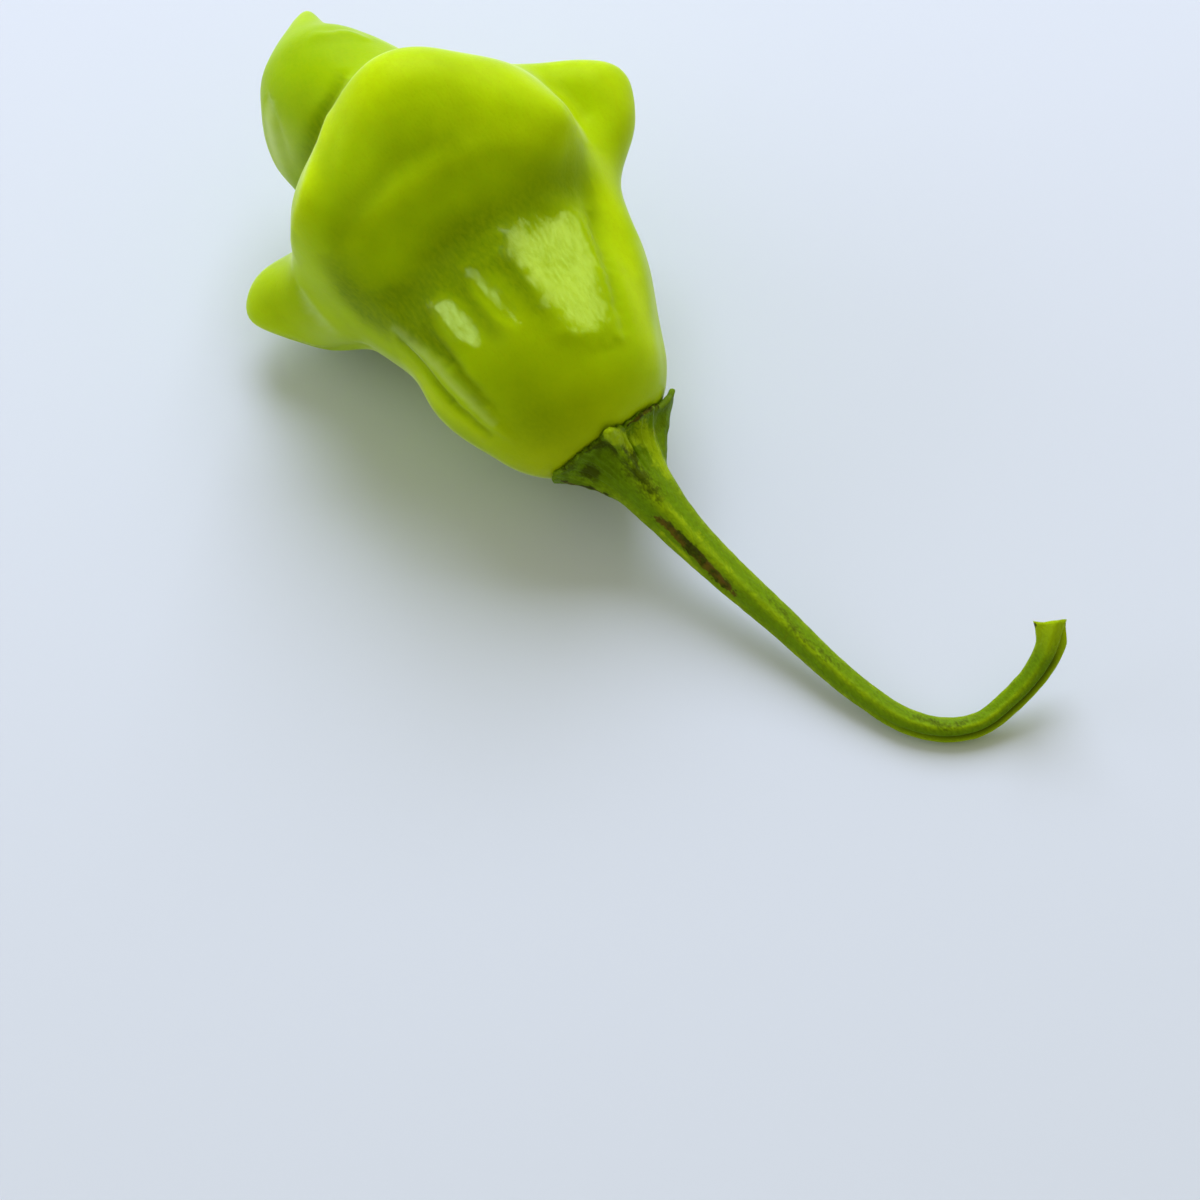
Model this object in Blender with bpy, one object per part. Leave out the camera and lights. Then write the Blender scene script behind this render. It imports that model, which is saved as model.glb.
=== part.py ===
"""A lobed, bell-shaped chilli pepper lying on its side, as picked: the pod, and the stalk with its calyx.

Metres, +Z up. The floor is z = 0, and +X runs from the pod's blossom end to the bend of the stalk.
Run it with: blender --background --python part.py
"""
import math
from collections import namedtuple

import bmesh
import bpy
import numpy as np
from mathutils import Matrix, Vector

# where the pod and the stalk meet, and how the pod lies
CALYX_SEAT = Vector((0.0041, -0.0151, 0.0120))
POD_HEADING = math.radians(162.0)
POD_CLIMB = math.radians(15.0)
POD_ROLL = math.radians(18.0)

# the pod before its lobes: distance along it from the calyx seat, and radius
POD_PROFILE = (
    (0.0, 0.0), (0.0002, 0.0050), (0.0013, 0.0087), (0.0046, 0.0118), (0.0090, 0.0138), (0.0160, 0.0163),
    (0.0230, 0.0170), (0.0300, 0.0178), (0.0370, 0.0194), (0.0430, 0.0198), (0.0480, 0.0172),
    (0.0525, 0.0132), (0.0580, 0.0110), (0.0640, 0.0090), (0.0685, 0.0062), (0.0708, 0.0028), (0.0712, 0.0),
)
POD_SIDES = 64
POD_RINGS = 46
# how much closer together the rings are at the pod's two ends
END_CROWDING = 0.3
# points this close at the pod's two poles become one
POLE_MERGE = 0.000001

# Each form moves the skin round its centre and fades out over its reach. All three are in the pod's own
# frame: along it from the calyx seat, towards its right side, and towards its upper front.
Form = namedtuple("Form", "name centre reach move")
POD_FORMS = (
    Form("blossom end", (0.064, -0.001, 0.0), (0.013, 0.014, 0.014), (0.001, -0.0036, -0.0060)),
    Form("blossom end, left side", (0.057, -0.013, -0.006), (0.007, 0.006, 0.008), (0.001, -0.0016, 0.0)),
    Form("brow", (0.046, 0.0035, 0.016), (0.010, 0.0125, 0.009), (0.0057, 0.001, 0.0035)),
    Form("brow, left end", (0.042, -0.013, 0.011), (0.007, 0.007, 0.008), (0.0016, 0.0, 0.0035)),
    Form("brow, right end", (0.038, 0.015, 0.012), (0.009, 0.0075, 0.008), (0.0012, 0.0008, 0.0040)),
    Form("behind the brow", (0.054, -0.007, 0.005), (0.005, 0.010, 0.006), (-0.0028, 0.0014, -0.0028)),
    Form("left of the brow", (0.050, -0.014, -0.001), (0.006, 0.006, 0.008), (-0.0012, 0.0022, 0.0)),
    Form("right wing", (0.040, 0.019, -0.005), (0.010, 0.009, 0.009), (0.0002, 0.0113, 0.0)),
    Form("right wing, near side", (0.034, 0.023, -0.004), (0.005, 0.006, 0.007), (0.0, 0.0020, 0.0)),
    Form("left wing", (0.0425, -0.017, -0.0095), (0.0076, 0.009, 0.0075), (0.0027, -0.0113, 0.0)),
    Form("left wing, near side", (0.037, -0.021, -0.010), (0.006, 0.007, 0.006), (-0.0014, -0.0012, 0.0)),
    Form("left wing, far side", (0.0475, -0.0245, -0.010), (0.004, 0.005, 0.006), (0.0012, -0.0003, 0.0)),
    Form("left cleft", (0.0500, -0.0175, -0.006), (0.004, 0.004, 0.007), (-0.0018, 0.0014, 0.0)),
    Form("left waist", (0.023, -0.016, 0.0), (0.005, 0.006, 0.008), (0.0, 0.0012, 0.0)),
    Form("right waist", (0.023, 0.018, 0.002), (0.010, 0.006, 0.008), (0.0, 0.0021, 0.0)),
    Form("tip", (0.071, -0.0015, -0.006), (0.0030, 0.0030, 0.0035), (0.0043, 0.0030, -0.003)),
    Form("lower wing", (0.042, 0.001, -0.019), (0.009, 0.012, 0.008), (0.0005, 0.0, -0.008)),
    Form("neck, lower side", (0.013, -0.005, -0.015), (0.009, 0.009, 0.008), (0.0, -0.0004, -0.0016)),
    Form("valley", (0.024, 0.0155, 0.010), (0.013, 0.0035, 0.007), (0.0, -0.0006, -0.0020)),
    Form("right cleft", (0.041, 0.023, 0.006), (0.010, 0.004, 0.005), (-0.0006, -0.0012, -0.0030)),
    Form("waist, front", (0.031, -0.002, 0.017), (0.007, 0.012, 0.007), (0.0, 0.0, -0.0016)),
)

# the calyx: a thin cup on the pod's end, with a tooth at each of these turns round the pod
GAP = 0.0003
CALYX_CENTRE_RADIUS = 0.0015
CALYX_RADIUS = 0.0080
CALYX_THICKNESS = 0.0008
CALYX_EDGE_ROUND = 0.0002
# a tooth lifts off the pod mostly at its outer end: its lift goes with this power of the way out
TOOTH_CURL = 3
Tooth = namedtuple("Tooth", "turn width length lift")
TEETH = (
    Tooth(math.radians(-2), math.radians(15), 0.0022, 0.0002),
    Tooth(math.radians(38), math.radians(14), 0.0010, 0.0001),
    Tooth(math.radians(95), math.radians(18), 0.0020, 0.0002),
    Tooth(math.radians(178), math.radians(16), 0.0008, 0.0),
    Tooth(math.radians(235), math.radians(20), 0.0015, 0.0001),
    Tooth(math.radians(300), math.radians(20), 0.0016, 0.0001),
)
# the funnel between them, from the calyx's edge to the round stalk
FUNNEL_LENGTH = 0.0075
FUNNEL_RADIUS = 0.0040
FUNNEL_FLARE = 0.30
CALYX_PULL = 0.0085
STALK_PULL = 0.0050

# the stalk's middle line, measured from the calyx seat, and its radius at distances along that line
STALK_ROUTE = (
    (0.0, 0.0, 0.0), (0.0063, -0.0020, -0.0014), (0.0127, -0.0035, -0.0034), (0.0209, -0.0046, -0.0058),
    (0.0297, -0.0056, -0.0076), (0.0385, -0.0070, -0.0090), (0.0444, -0.0075, -0.0098),
    (0.0500, -0.0073, -0.0103), (0.0547, -0.0055, -0.0104), (0.0579, -0.0024, -0.0101),
    (0.0595, 0.0016, -0.0088), (0.0605, 0.0055, -0.0066), (0.0606, 0.0083, -0.0044),
    (0.0601, 0.0104, -0.0022),
)
STALK_RADII = (
    (0.0075, 0.0040), (0.012, 0.0033), (0.017, 0.0027), (0.028, 0.0021), (0.037, 0.0018), (0.047, 0.0016),
    (0.055, 0.0015), (0.062, 0.0014), (0.070, 0.0015), (0.078, 0.0018),
)
STALK_SIDES = 30
INNER_RINGS = 5
FUNNEL_RINGS = 9
TUBE_RINGS = 44
# five soft ridges run down the stalk
RIDGES = 5
RIDGE_HEIGHT = 0.07
# the torn end: higher on one side, with one spur that stands out
TIP_SLANT = 0.0009
TIP_HIGH_TURN = math.radians(200)
SPUR_TURN = math.radians(10)
SPUR_WIDTH = math.radians(22)
SPUR_OUT = 0.0014
TIP_HOLLOW = 0.0006

# curves are measured on this many points, and their direction over these short steps
LINE_SAMPLES = 4001
PROFILE_STEP = 0.0001
STALK_STEP = 0.0004

POD_COLOUR = (0.30, 0.47, 0.008, 1.0)
POD_ROUGHNESS = 0.22
STALK_COLOUR = (0.11, 0.22, 0.012, 1.0)
STALK_ROUGHNESS = 0.45


def clear_scene():
    for item in list(bpy.data.objects):
        bpy.data.objects.remove(item, do_unlink=True)


def make_material(name, colour, roughness):
    material = bpy.data.materials.new(name)
    material.use_nodes = True
    shader = material.node_tree.nodes["Principled BSDF"]
    shader.inputs["Base Color"].default_value = colour
    shader.inputs["Roughness"].default_value = roughness
    shader.inputs["Metallic"].default_value = 0.0
    return material


def curve(start, go, end, arrive, s):
    """The point at share s of a curve that leaves start with slope go and comes to end with slope arrive."""
    near = (2 * s**3 - 3 * s**2 + 1) * start + (s**3 - 2 * s**2 + s) * go
    return near + (3 * s**2 - 2 * s**3) * end + (s**3 - s**2) * arrive


def line_lengths(line):
    """How far along the line each of its points is."""
    return np.concatenate([[0.0], np.cumsum(np.linalg.norm(np.diff(line, axis=0), axis=1))])


def smooth_line(points, shares):
    """The points at these shares, 0 to 1, of the length of one smooth curve through the given points."""
    points = np.array(points, float)
    steps = np.sqrt(np.linalg.norm(np.diff(points, axis=0), axis=1))[:, None]
    knots = np.concatenate([[0.0], np.cumsum(steps)])
    speeds = np.diff(points, axis=0) / steps
    middle = (speeds[1:] * steps[:-1] + speeds[:-1] * steps[1:]) / (steps[1:] + steps[:-1])
    slopes = np.vstack([speeds[:1], middle, speeds[-1:]])

    def at(knot):
        span = np.clip(np.searchsorted(knots, knot, side="right") - 1, 0, len(steps) - 1)
        step = steps[span]
        share = (knot - knots[span])[:, None] / step
        return curve(points[span], step * slopes[span], points[span + 1], step * slopes[span + 1], share)

    fine = np.linspace(0.0, knots[-1], LINE_SAMPLES)
    lengths = line_lengths(at(fine))
    return at(np.interp(np.asarray(shares) * lengths[-1], lengths, fine))


def pod_axes():
    """The pod's own axes in the world, as a matrix: along it, to its right side, to its upper front."""
    along = Vector((math.cos(POD_HEADING) * math.cos(POD_CLIMB),
                    math.sin(POD_HEADING) * math.cos(POD_CLIMB),
                    math.sin(POD_CLIMB)))
    level = Vector((math.sin(POD_HEADING), -math.cos(POD_HEADING), 0.0))
    above = level.cross(along)
    side = level * math.cos(POD_ROLL) + above * math.sin(POD_ROLL)
    front = above * math.cos(POD_ROLL) - level * math.sin(POD_ROLL)
    return Matrix((along, side, front)).transposed()


def formed(point):
    """A point of the plain turned pod, moved by each of the pod's forms in turn."""
    point = Vector(point)
    for form in POD_FORMS:
        far = sum(((p - c) / r) ** 2 for p, c, r in zip(point, form.centre, form.reach))
        point += math.exp(-far) * Vector(form.move)
    return point


def laid(point):
    """A point of the pod's own frame, in the world. The skin that meets the floor is flat on it."""
    place = CALYX_SEAT + pod_axes() @ point
    place.z = max(place.z, 0.0)
    return place


def close_mesh(form, name, material):
    """Turn the finished form into a smooth-shaded object of its own."""
    bmesh.ops.recalc_face_normals(form, faces=form.faces)
    mesh = bpy.data.meshes.new(name)
    form.to_mesh(mesh)
    form.free()
    mesh.shade_smooth()
    mesh.materials.append(material)
    thing = bpy.data.objects.new(name, mesh)
    bpy.context.scene.collection.objects.link(thing)
    return thing


def make_pod():
    """The pod: its profile is spun round its own axis, then its lobes and hollows are pulled out of it."""
    form = bmesh.new()
    even = np.linspace(0.0, 1.0, POD_RINGS + 1)
    shares = even - END_CROWDING * np.sin(2 * np.pi * even) / (2 * np.pi)
    profile = [form.verts.new((along, 0.0, radius)) for along, radius in smooth_line(POD_PROFILE, shares)]
    edges = [form.edges.new(pair) for pair in zip(profile, profile[1:])]
    bmesh.ops.spin(form, geom=profile + edges, cent=(0, 0, 0), axis=(1, 0, 0), angle=2 * math.pi,
                   steps=POD_SIDES, use_merge=True)
    bmesh.ops.remove_doubles(form, verts=form.verts, dist=POLE_MERGE)
    for vert in form.verts:
        vert.co = laid(formed(vert.co))
    return close_mesh(form, "pod", make_material("pod skin", POD_COLOUR, POD_ROUGHNESS))


def calyx_reach(turn):
    """How far the calyx's teeth add to its edge at this turn, and how far they lift off the pod."""
    length = 0.0
    lift = 0.0
    for tooth in TEETH:
        away = abs((turn - tooth.turn + math.pi) % (2 * math.pi) - math.pi)
        share = max(0.0, 1.0 - away / tooth.width)
        length += tooth.length * share
        lift += tooth.lift * share
    return length, lift


def stalk_rings():
    """The stalk's rings of points: out along the pod inside the calyx, back over it, and down the stalk."""
    turns = [2 * math.pi * k / STALK_SIDES for k in range(STALK_SIDES)]
    whole = np.linspace(0.0, 1.0, LINE_SAMPLES)
    profile = smooth_line(POD_PROFILE, whole)
    profile = profile[:profile[:, 1].argmax()]
    lengths = line_lengths(profile)
    centre_length = np.interp(CALYX_CENTRE_RADIUS, profile[:, 1], lengths)
    edge_length = np.interp(CALYX_RADIUS, profile[:, 1], lengths)
    axes = pod_axes()

    def over_pod(length, turn, off):
        """The place off the pod's skin at a length along its profile, and the way back to its centre."""
        along, radius = (np.interp(length, lengths, column) for column in profile.T)
        ahead, wider = (np.interp(length + PROFILE_STEP, lengths, column) for column in profile.T)
        way = Vector((ahead - along, wider - radius)).normalized()
        along -= off * way.y
        radius += off * way.x
        place = Vector((along, radius * math.cos(turn), radius * math.sin(turn)))
        back = -Vector((way.x, way.y * math.cos(turn), way.y * math.sin(turn)))
        return CALYX_SEAT + axes @ formed(place), axes @ back

    rings = []
    for share in np.linspace(0.0, 1.0, INNER_RINGS):
        ring = []
        for turn in turns:
            longer, lift = calyx_reach(turn)
            length = centre_length + (edge_length + longer - centre_length) * share
            ring.append(over_pod(length, turn, GAP + lift * share**TOOTH_CURL)[0])
        rings.append(ring)
    rim = []
    for turn in turns:
        longer, lift = calyx_reach(turn)
        length = edge_length + longer + CALYX_EDGE_ROUND
        rim.append(over_pod(length, turn, GAP + lift + CALYX_THICKNESS / 2)[0])
    rings.append(rim)

    down = -Vector(axes.col[0])
    for share in np.linspace(0.0, 1.0, FUNNEL_RINGS):
        ring = []
        for turn in turns:
            longer, lift = calyx_reach(turn)
            start, back = over_pod(edge_length + longer, turn, GAP + lift + CALYX_THICKNESS)
            out = axes @ Vector((0.0, math.cos(turn), math.sin(turn)))
            end = CALYX_SEAT + down * FUNNEL_LENGTH + out * FUNNEL_RADIUS * ridged(turn)
            go = back * CALYX_PULL
            arrive = (down - out * FUNNEL_FLARE) * STALK_PULL
            ring.append(curve(start, go, end, arrive, float(share)))
        rings.append(ring)

    line = smooth_line([CALYX_SEAT + Vector(point) for point in STALK_ROUTE], whole)
    far = line_lengths(line)
    side = Vector(axes.col[1])
    tube_lengths = np.linspace(FUNNEL_LENGTH, far[-1], TUBE_RINGS + 1)[1:]
    for length in tube_lengths:
        middle = Vector([np.interp(length, far, column) for column in line.T])
        behind = Vector([np.interp(length - STALK_STEP, far, column) for column in line.T])
        way = (middle - behind).normalized()
        side = (side - way * side.dot(way)).normalized()
        front = way.cross(side)
        radius = np.interp(length, *np.array(STALK_RADII).T)
        at_tip = length == tube_lengths[-1]
        ring = []
        for turn in turns:
            out = side * math.cos(turn) + front * math.sin(turn)
            place = middle + out * radius * ridged(turn)
            if at_tip:
                spur = math.exp(-(((turn - SPUR_TURN) / SPUR_WIDTH) ** 2))
                place += out * SPUR_OUT * spur
                place += way * TIP_SLANT * math.cos(turn - TIP_HIGH_TURN)
            ring.append(place)
        rings.append(ring)
    hollow = middle - way * TIP_HOLLOW
    return rings, hollow


def ridged(turn):
    """The stalk's radius at this turn as a share of its mean one."""
    return 1.0 + RIDGE_HEIGHT * math.cos(RIDGES * turn) / 2


def make_stalk():
    """The stalk and calyx: one ring of points is extruded from the calyx's middle to the torn tip."""
    rings, hollow = stalk_rings()
    form = bmesh.new()
    verts = bmesh.ops.create_circle(form, segments=STALK_SIDES, radius=1.0)["verts"]
    edges = list(form.edges)
    for vert, place in zip(verts, rings[0]):
        vert.co = place
    bmesh.ops.contextual_create(form, geom=edges)
    for ring in rings[1:]:
        grown = bmesh.ops.extrude_edge_only(form, edges=edges)["geom"]
        edges = [item for item in grown if isinstance(item, bmesh.types.BMEdge)]
        new = [item for item in grown if isinstance(item, bmesh.types.BMVert)]
        verts = in_order(verts, new)
        for vert, place in zip(verts, ring):
            vert.co = place
    cap = bmesh.ops.contextual_create(form, geom=edges)["faces"]
    centre = bmesh.ops.poke(form, faces=cap)["verts"][0]
    centre.co = hollow
    return close_mesh(form, "stalk", make_material("stalk skin", STALK_COLOUR, STALK_ROUGHNESS))


def in_order(old, new):
    """The new ring's points in the order of the old ring's points, which each one still lies on."""
    return [min(new, key=lambda vert: (vert.co - before.co).length) for before in old]


def main():
    clear_scene()
    make_pod()
    make_stalk()


main()
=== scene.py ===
"""The looks of a lobed, bell-shaped chilli pepper lying on a pale surface: its skin, its calyx and its stalk.

Metres, +Z up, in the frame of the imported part. The pod's own frame runs along it from the calyx seat, to its
right side, and to its upper front, as in the part's source, whose dimensions are repeated here.
"""
import math
from collections import namedtuple

import bmesh
import bpy
import numpy as np
from bpy.props import FloatProperty, FloatVectorProperty, IntProperty, PointerProperty
from mathutils import Matrix, Vector, noise
from mathutils.kdtree import KDTree


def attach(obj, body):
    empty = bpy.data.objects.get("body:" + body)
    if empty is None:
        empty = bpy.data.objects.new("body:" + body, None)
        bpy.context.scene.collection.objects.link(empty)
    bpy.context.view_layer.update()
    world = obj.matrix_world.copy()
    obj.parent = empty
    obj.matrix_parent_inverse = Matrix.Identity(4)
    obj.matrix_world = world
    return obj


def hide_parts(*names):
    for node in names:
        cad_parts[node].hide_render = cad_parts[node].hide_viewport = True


bl_info = {
    "name": "Lobed chilli pepper",
    "version": (1, 0, 0),
    "blender": (4, 5, 0),
    "location": "3D View > Sidebar > Chilli",
    "description": "Makes a lobed green chilli pepper with its calyx and stalk, and a pale stage for it",
    "category": "Add Mesh",
}

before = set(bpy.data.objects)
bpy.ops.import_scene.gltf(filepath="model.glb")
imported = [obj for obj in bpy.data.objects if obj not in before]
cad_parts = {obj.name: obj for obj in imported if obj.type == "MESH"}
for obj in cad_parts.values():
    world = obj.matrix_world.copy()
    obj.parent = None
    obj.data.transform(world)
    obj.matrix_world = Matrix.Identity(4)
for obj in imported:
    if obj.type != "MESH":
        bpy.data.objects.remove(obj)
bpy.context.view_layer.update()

# the pod before its lobes: distance along it from the calyx seat, and radius
POD_PROFILE = (
    (0.0, 0.0), (0.0002, 0.0050), (0.0013, 0.0087), (0.0046, 0.0118), (0.0090, 0.0138), (0.0160, 0.0163),
    (0.0230, 0.0170), (0.0300, 0.0178), (0.0370, 0.0194), (0.0430, 0.0198), (0.0480, 0.0172),
    (0.0525, 0.0132), (0.0580, 0.0110), (0.0640, 0.0090), (0.0685, 0.0062), (0.0708, 0.0028), (0.0712, 0.0),
)
# how strong the skin's painted rim sheen is at distances along the pod: a pale reflection painted where the
# skin turns away from the camera
RIM_SHEEN_SHARES = ((0.024, 1.0), (0.036, 0.75), (0.060, 0.75), (0.068, 0.20))
# how much closer together the rings are at the pod's two ends
END_CROWDING = 0.3

# Each form moves the skin round its centre and fades out over its reach, in the pod's own frame.
Form = namedtuple("Form", "name centre reach move")
POD_FORMS = (
    Form("blossom end", (0.064, -0.001, 0.0), (0.013, 0.014, 0.014), (0.001, -0.0036, -0.0060)),
    Form("blossom end, left side", (0.057, -0.013, -0.006), (0.007, 0.006, 0.008), (0.001, -0.0016, 0.0)),
    Form("brow", (0.046, 0.0035, 0.016), (0.010, 0.0125, 0.009), (0.0057, 0.001, 0.0035)),
    Form("brow, left end", (0.042, -0.013, 0.011), (0.007, 0.007, 0.008), (0.0016, 0.0, 0.0035)),
    Form("brow, right end", (0.038, 0.015, 0.012), (0.009, 0.0075, 0.008), (0.0012, 0.0008, 0.0040)),
    Form("behind the brow", (0.054, -0.007, 0.005), (0.005, 0.010, 0.006), (-0.0028, 0.0014, -0.0028)),
    Form("left of the brow", (0.050, -0.014, -0.001), (0.006, 0.006, 0.008), (-0.0012, 0.0022, 0.0)),
    Form("right wing", (0.040, 0.019, -0.005), (0.010, 0.009, 0.009), (0.0002, 0.0113, 0.0)),
    Form("right wing, near side", (0.034, 0.023, -0.004), (0.005, 0.006, 0.007), (0.0, 0.0020, 0.0)),
    Form("left wing", (0.0425, -0.017, -0.0095), (0.0076, 0.009, 0.0075), (0.0027, -0.0113, 0.0)),
    Form("left wing, near side", (0.037, -0.021, -0.010), (0.006, 0.007, 0.006), (-0.0014, -0.0012, 0.0)),
    Form("left wing, far side", (0.0475, -0.0245, -0.010), (0.004, 0.005, 0.006), (0.0012, -0.0003, 0.0)),
    Form("left cleft", (0.0500, -0.0175, -0.006), (0.004, 0.004, 0.007), (-0.0018, 0.0014, 0.0)),
    Form("left waist", (0.023, -0.016, 0.0), (0.005, 0.006, 0.008), (0.0, 0.0012, 0.0)),
    Form("right waist", (0.023, 0.018, 0.002), (0.010, 0.006, 0.008), (0.0, 0.0021, 0.0)),
    Form("tip", (0.071, -0.0015, -0.006), (0.0030, 0.0030, 0.0035), (0.0043, 0.0030, -0.003)),
    Form("lower wing", (0.042, 0.001, -0.019), (0.009, 0.012, 0.008), (0.0005, 0.0, -0.008)),
    Form("neck, lower side", (0.013, -0.005, -0.015), (0.009, 0.009, 0.008), (0.0, -0.0004, -0.0016)),
    Form("valley", (0.024, 0.0155, 0.010), (0.013, 0.0035, 0.007), (0.0, -0.0006, -0.0020)),
    Form("right cleft", (0.041, 0.023, 0.006), (0.010, 0.004, 0.005), (-0.0006, -0.0012, -0.0030)),
    Form("waist, front", (0.031, -0.002, 0.017), (0.007, 0.012, 0.007), (0.0, 0.0, -0.0016)),
    Form("brow, right corner", (0.0345, 0.0180, 0.0120), (0.0065, 0.0050, 0.0060), (-0.0008, 0.0024, 0.0034)),
)

# Each facet is a flat patch of the skin: the normal of the plane that it's drawn to, how wide its rounded
# edge is, how far inside its outline its gloss is full, how glossy it is, and its outline's corners.
Facet = namedtuple("Facet", "name normal edge fade gloss corners")
POD_FACETS = (
    Facet("right of the front", (-0.09, 0.50, 0.86), 0.0032, 0.0024, 0.96, (
        (0.0262, 0.0018, 0.0166), (0.0280, 0.0044, 0.0162), (0.0274, 0.0102, 0.0136),
        (0.0250, 0.0146, 0.0096), (0.0160, 0.0122, 0.0110), (0.0086, 0.0086, 0.0118),
        (0.0110, 0.0028, 0.0150))),
    Facet("middle of the front", (-0.01, -0.24, 0.97), 0.0010, 0.0016, 0.80, (
        (0.0272, -0.0030, 0.0155), (0.0258, -0.0004, 0.0161), (0.0212, -0.0004, 0.0164),
        (0.0160, 0.0004, 0.0164), (0.0158, -0.0018, 0.0163), (0.0199, -0.0029, 0.0162))),
    Facet("left of the front", (-0.01, -0.24, 0.97), 0.0010, 0.0012, 1.0, (
        (0.0262, -0.0090, 0.0142), (0.0248, -0.0060, 0.0153), (0.0182, -0.0053, 0.0155),
        (0.0168, -0.0070, 0.0151), (0.0194, -0.0088, 0.0147))),
)
# how fully a facet is flattened, and how deep under it the skin still belongs to it
FACET_SHARE = 0.85
FACET_DEPTH = 0.005
# how far its gloss spreads outside its outline
GLOSS_SPREAD = 0.0005
# how round a facet's corners are, as a share of the width of its edge
FACET_ROUNDING = 0.22
# how far a facet's outline strays from its corners, as a share of the width of its edge, and over what length
FACET_STRAY = 0.22
STRAY_LENGTH = 0.0016

# Each fold is a long rib (a positive height) or a groove (a negative one) that follows a route over the skin
# and fades out at its two ends.
Fold = namedtuple("Fold", "name width height route")
POD_FOLDS = (
    Fold("valley beside the right ridge", 0.0012, -0.0007, (
        (0.0250, 0.0153, 0.0072), (0.0225, 0.0143, 0.0080), (0.0179, 0.0128, 0.0095),
        (0.0124, 0.0108, 0.0104), (0.0085, 0.0090, 0.0105))),
    Fold("brow, left rim", 0.0011, 0.0003, (
        (0.0568, -0.0018, 0.0092), (0.0517, -0.0060, 0.0165), (0.0492, -0.0097, 0.0164),
        (0.0458, -0.0133, 0.0172), (0.0442, -0.0169, 0.0127), (0.0448, -0.0197, 0.0018))),
    Fold("brow, inside its left rim", 0.0012, -0.0002, (
        (0.0505, -0.0020, 0.0195), (0.0478, -0.0065, 0.0192), (0.0445, -0.0105, 0.0190),
        (0.0420, -0.0150, 0.0160))),
    Fold("blossom end, crest", 0.0010, 0.0004, (
        (0.0681, -0.0003, 0.0025), (0.0659, 0.0024, 0.0030), (0.0655, 0.0036, 0.0023),
        (0.0624, 0.0056, 0.0030))),
    Fold("blossom end, left groove", 0.0010, -0.0004, (
        (0.0656, -0.0094, 0.0010), (0.0605, -0.0110, 0.0017), (0.0563, -0.0124, -0.0002))),
    Fold("left wing, crease", 0.0010, -0.0004, (
        (0.0430, -0.0212, 0.0015), (0.0387, -0.0216, -0.0005), (0.0355, -0.0210, -0.0024))),
    Fold("left wing, wrinkle", 0.0008, -0.0003, (
        (0.0400, -0.0262, -0.0080), (0.0352, -0.0226, -0.0078), (0.0285, -0.0174, -0.0005))),
    Fold("outer left rib", 0.0010, 0.0006, (
        (0.0275, -0.0145, 0.0105), (0.0252, -0.0137, 0.0108), (0.0209, -0.0128, 0.0115),
        (0.0165, -0.0122, 0.0117), (0.0125, -0.0115, 0.0106), (0.0089, -0.0106, 0.0088),
        (0.0061, -0.0099, 0.0079))),
    Fold("outer left groove", 0.0008, -0.0005, (
        (0.0260, -0.0146, 0.0095), (0.0233, -0.0141, 0.0095), (0.0168, -0.0136, 0.0089),
        (0.0119, -0.0129, 0.0076), (0.0085, -0.0118, 0.0065))),
    Fold("inner left groove", 0.0008, -0.0004, (
        (0.0240, -0.0113, 0.0126), (0.0198, -0.0105, 0.0128), (0.0153, -0.0103, 0.0122),
        (0.0110, -0.0100, 0.0108))),
    Fold("left groove of the front", 0.0012, -0.0003, (
        (0.0310, -0.0050, 0.0160), (0.0240, -0.0042, 0.0158), (0.0150, -0.0042, 0.0158))),
    Fold("middle groove of the front", 0.0013, -0.0003, (
        (0.0285, 0.0024, 0.0165), (0.0205, 0.0022, 0.0163), (0.0130, 0.0024, 0.0152))),
    Fold("beside the brow's right corner", 0.0010, -0.0003, (
        (0.0437, 0.0215, 0.0044), (0.0426, 0.0225, 0.0030), (0.0398, 0.0229, 0.0030),
        (0.0366, 0.0221, 0.0030), (0.0330, 0.0205, 0.0042))),
    Fold("soft rib under the brow", 0.0022, 0.0006, (
        (0.0364, -0.0139, 0.0144), (0.0374, -0.0102, 0.0176), (0.0376, -0.0060, 0.0192),
        (0.0375, -0.0013, 0.0201), (0.0374, 0.0033, 0.0200), (0.0363, 0.0078, 0.0189),
        (0.0348, 0.0117, 0.0177), (0.0323, 0.0166, 0.0128))),
    Fold("above the soft rib", 0.0016, -0.0002, (
        (0.0393, -0.0100, 0.0187), (0.0405, -0.0041, 0.0206), (0.0403, 0.0009, 0.0212),
        (0.0396, 0.0045, 0.0209))),
    Fold("hollow under the brow", 0.0030, -0.0008, (
        (0.0271, -0.0127, 0.0117), (0.0284, -0.0068, 0.0152), (0.0292, -0.0014, 0.0163),
        (0.0288, 0.0033, 0.0163), (0.0284, 0.0083, 0.0152), (0.0290, 0.0147, 0.0101))),
    Fold("crease behind the brow's left rim", 0.0010, -0.0006, (
        (0.0600, 0.0010, 0.0080), (0.0576, -0.0019, 0.0085), (0.0566, -0.0047, 0.0075),
        (0.0556, -0.0075, 0.0053), (0.0540, -0.0110, 0.0010))),
    Fold("lower left rib", 0.0018, 0.0005, (
        (0.0085, -0.0075, -0.0090), (0.0200, -0.0090, -0.0130), (0.0330, -0.0085, -0.0190))),
    Fold("lower left groove", 0.0018, -0.0006, (
        (0.0095, -0.0115, -0.0050), (0.0220, -0.0135, -0.0080), (0.0345, -0.0145, -0.0120))),
    Fold("lower right groove", 0.0020, -0.0007, (
        (0.0085, 0.0075, -0.0080), (0.0210, 0.0105, -0.0110), (0.0350, 0.0115, -0.0145))),
    Fold("lower right rib", 0.0018, 0.0004, (
        (0.0085, 0.0115, -0.0030), (0.0200, 0.0150, -0.0050), (0.0310, 0.0190, -0.0060))),
    Fold("behind the wings", 0.0022, -0.0007, (
        (0.0500, 0.0150, -0.0030), (0.0525, 0.0060, -0.0110), (0.0510, -0.0080, -0.0120),
        (0.0500, -0.0150, -0.0080))),
    Fold("blossom end, lower groove", 0.0013, -0.0004, (
        (0.0690, 0.0020, -0.0090), (0.0630, 0.0040, -0.0120), (0.0570, 0.0060, -0.0130))),
)
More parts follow.
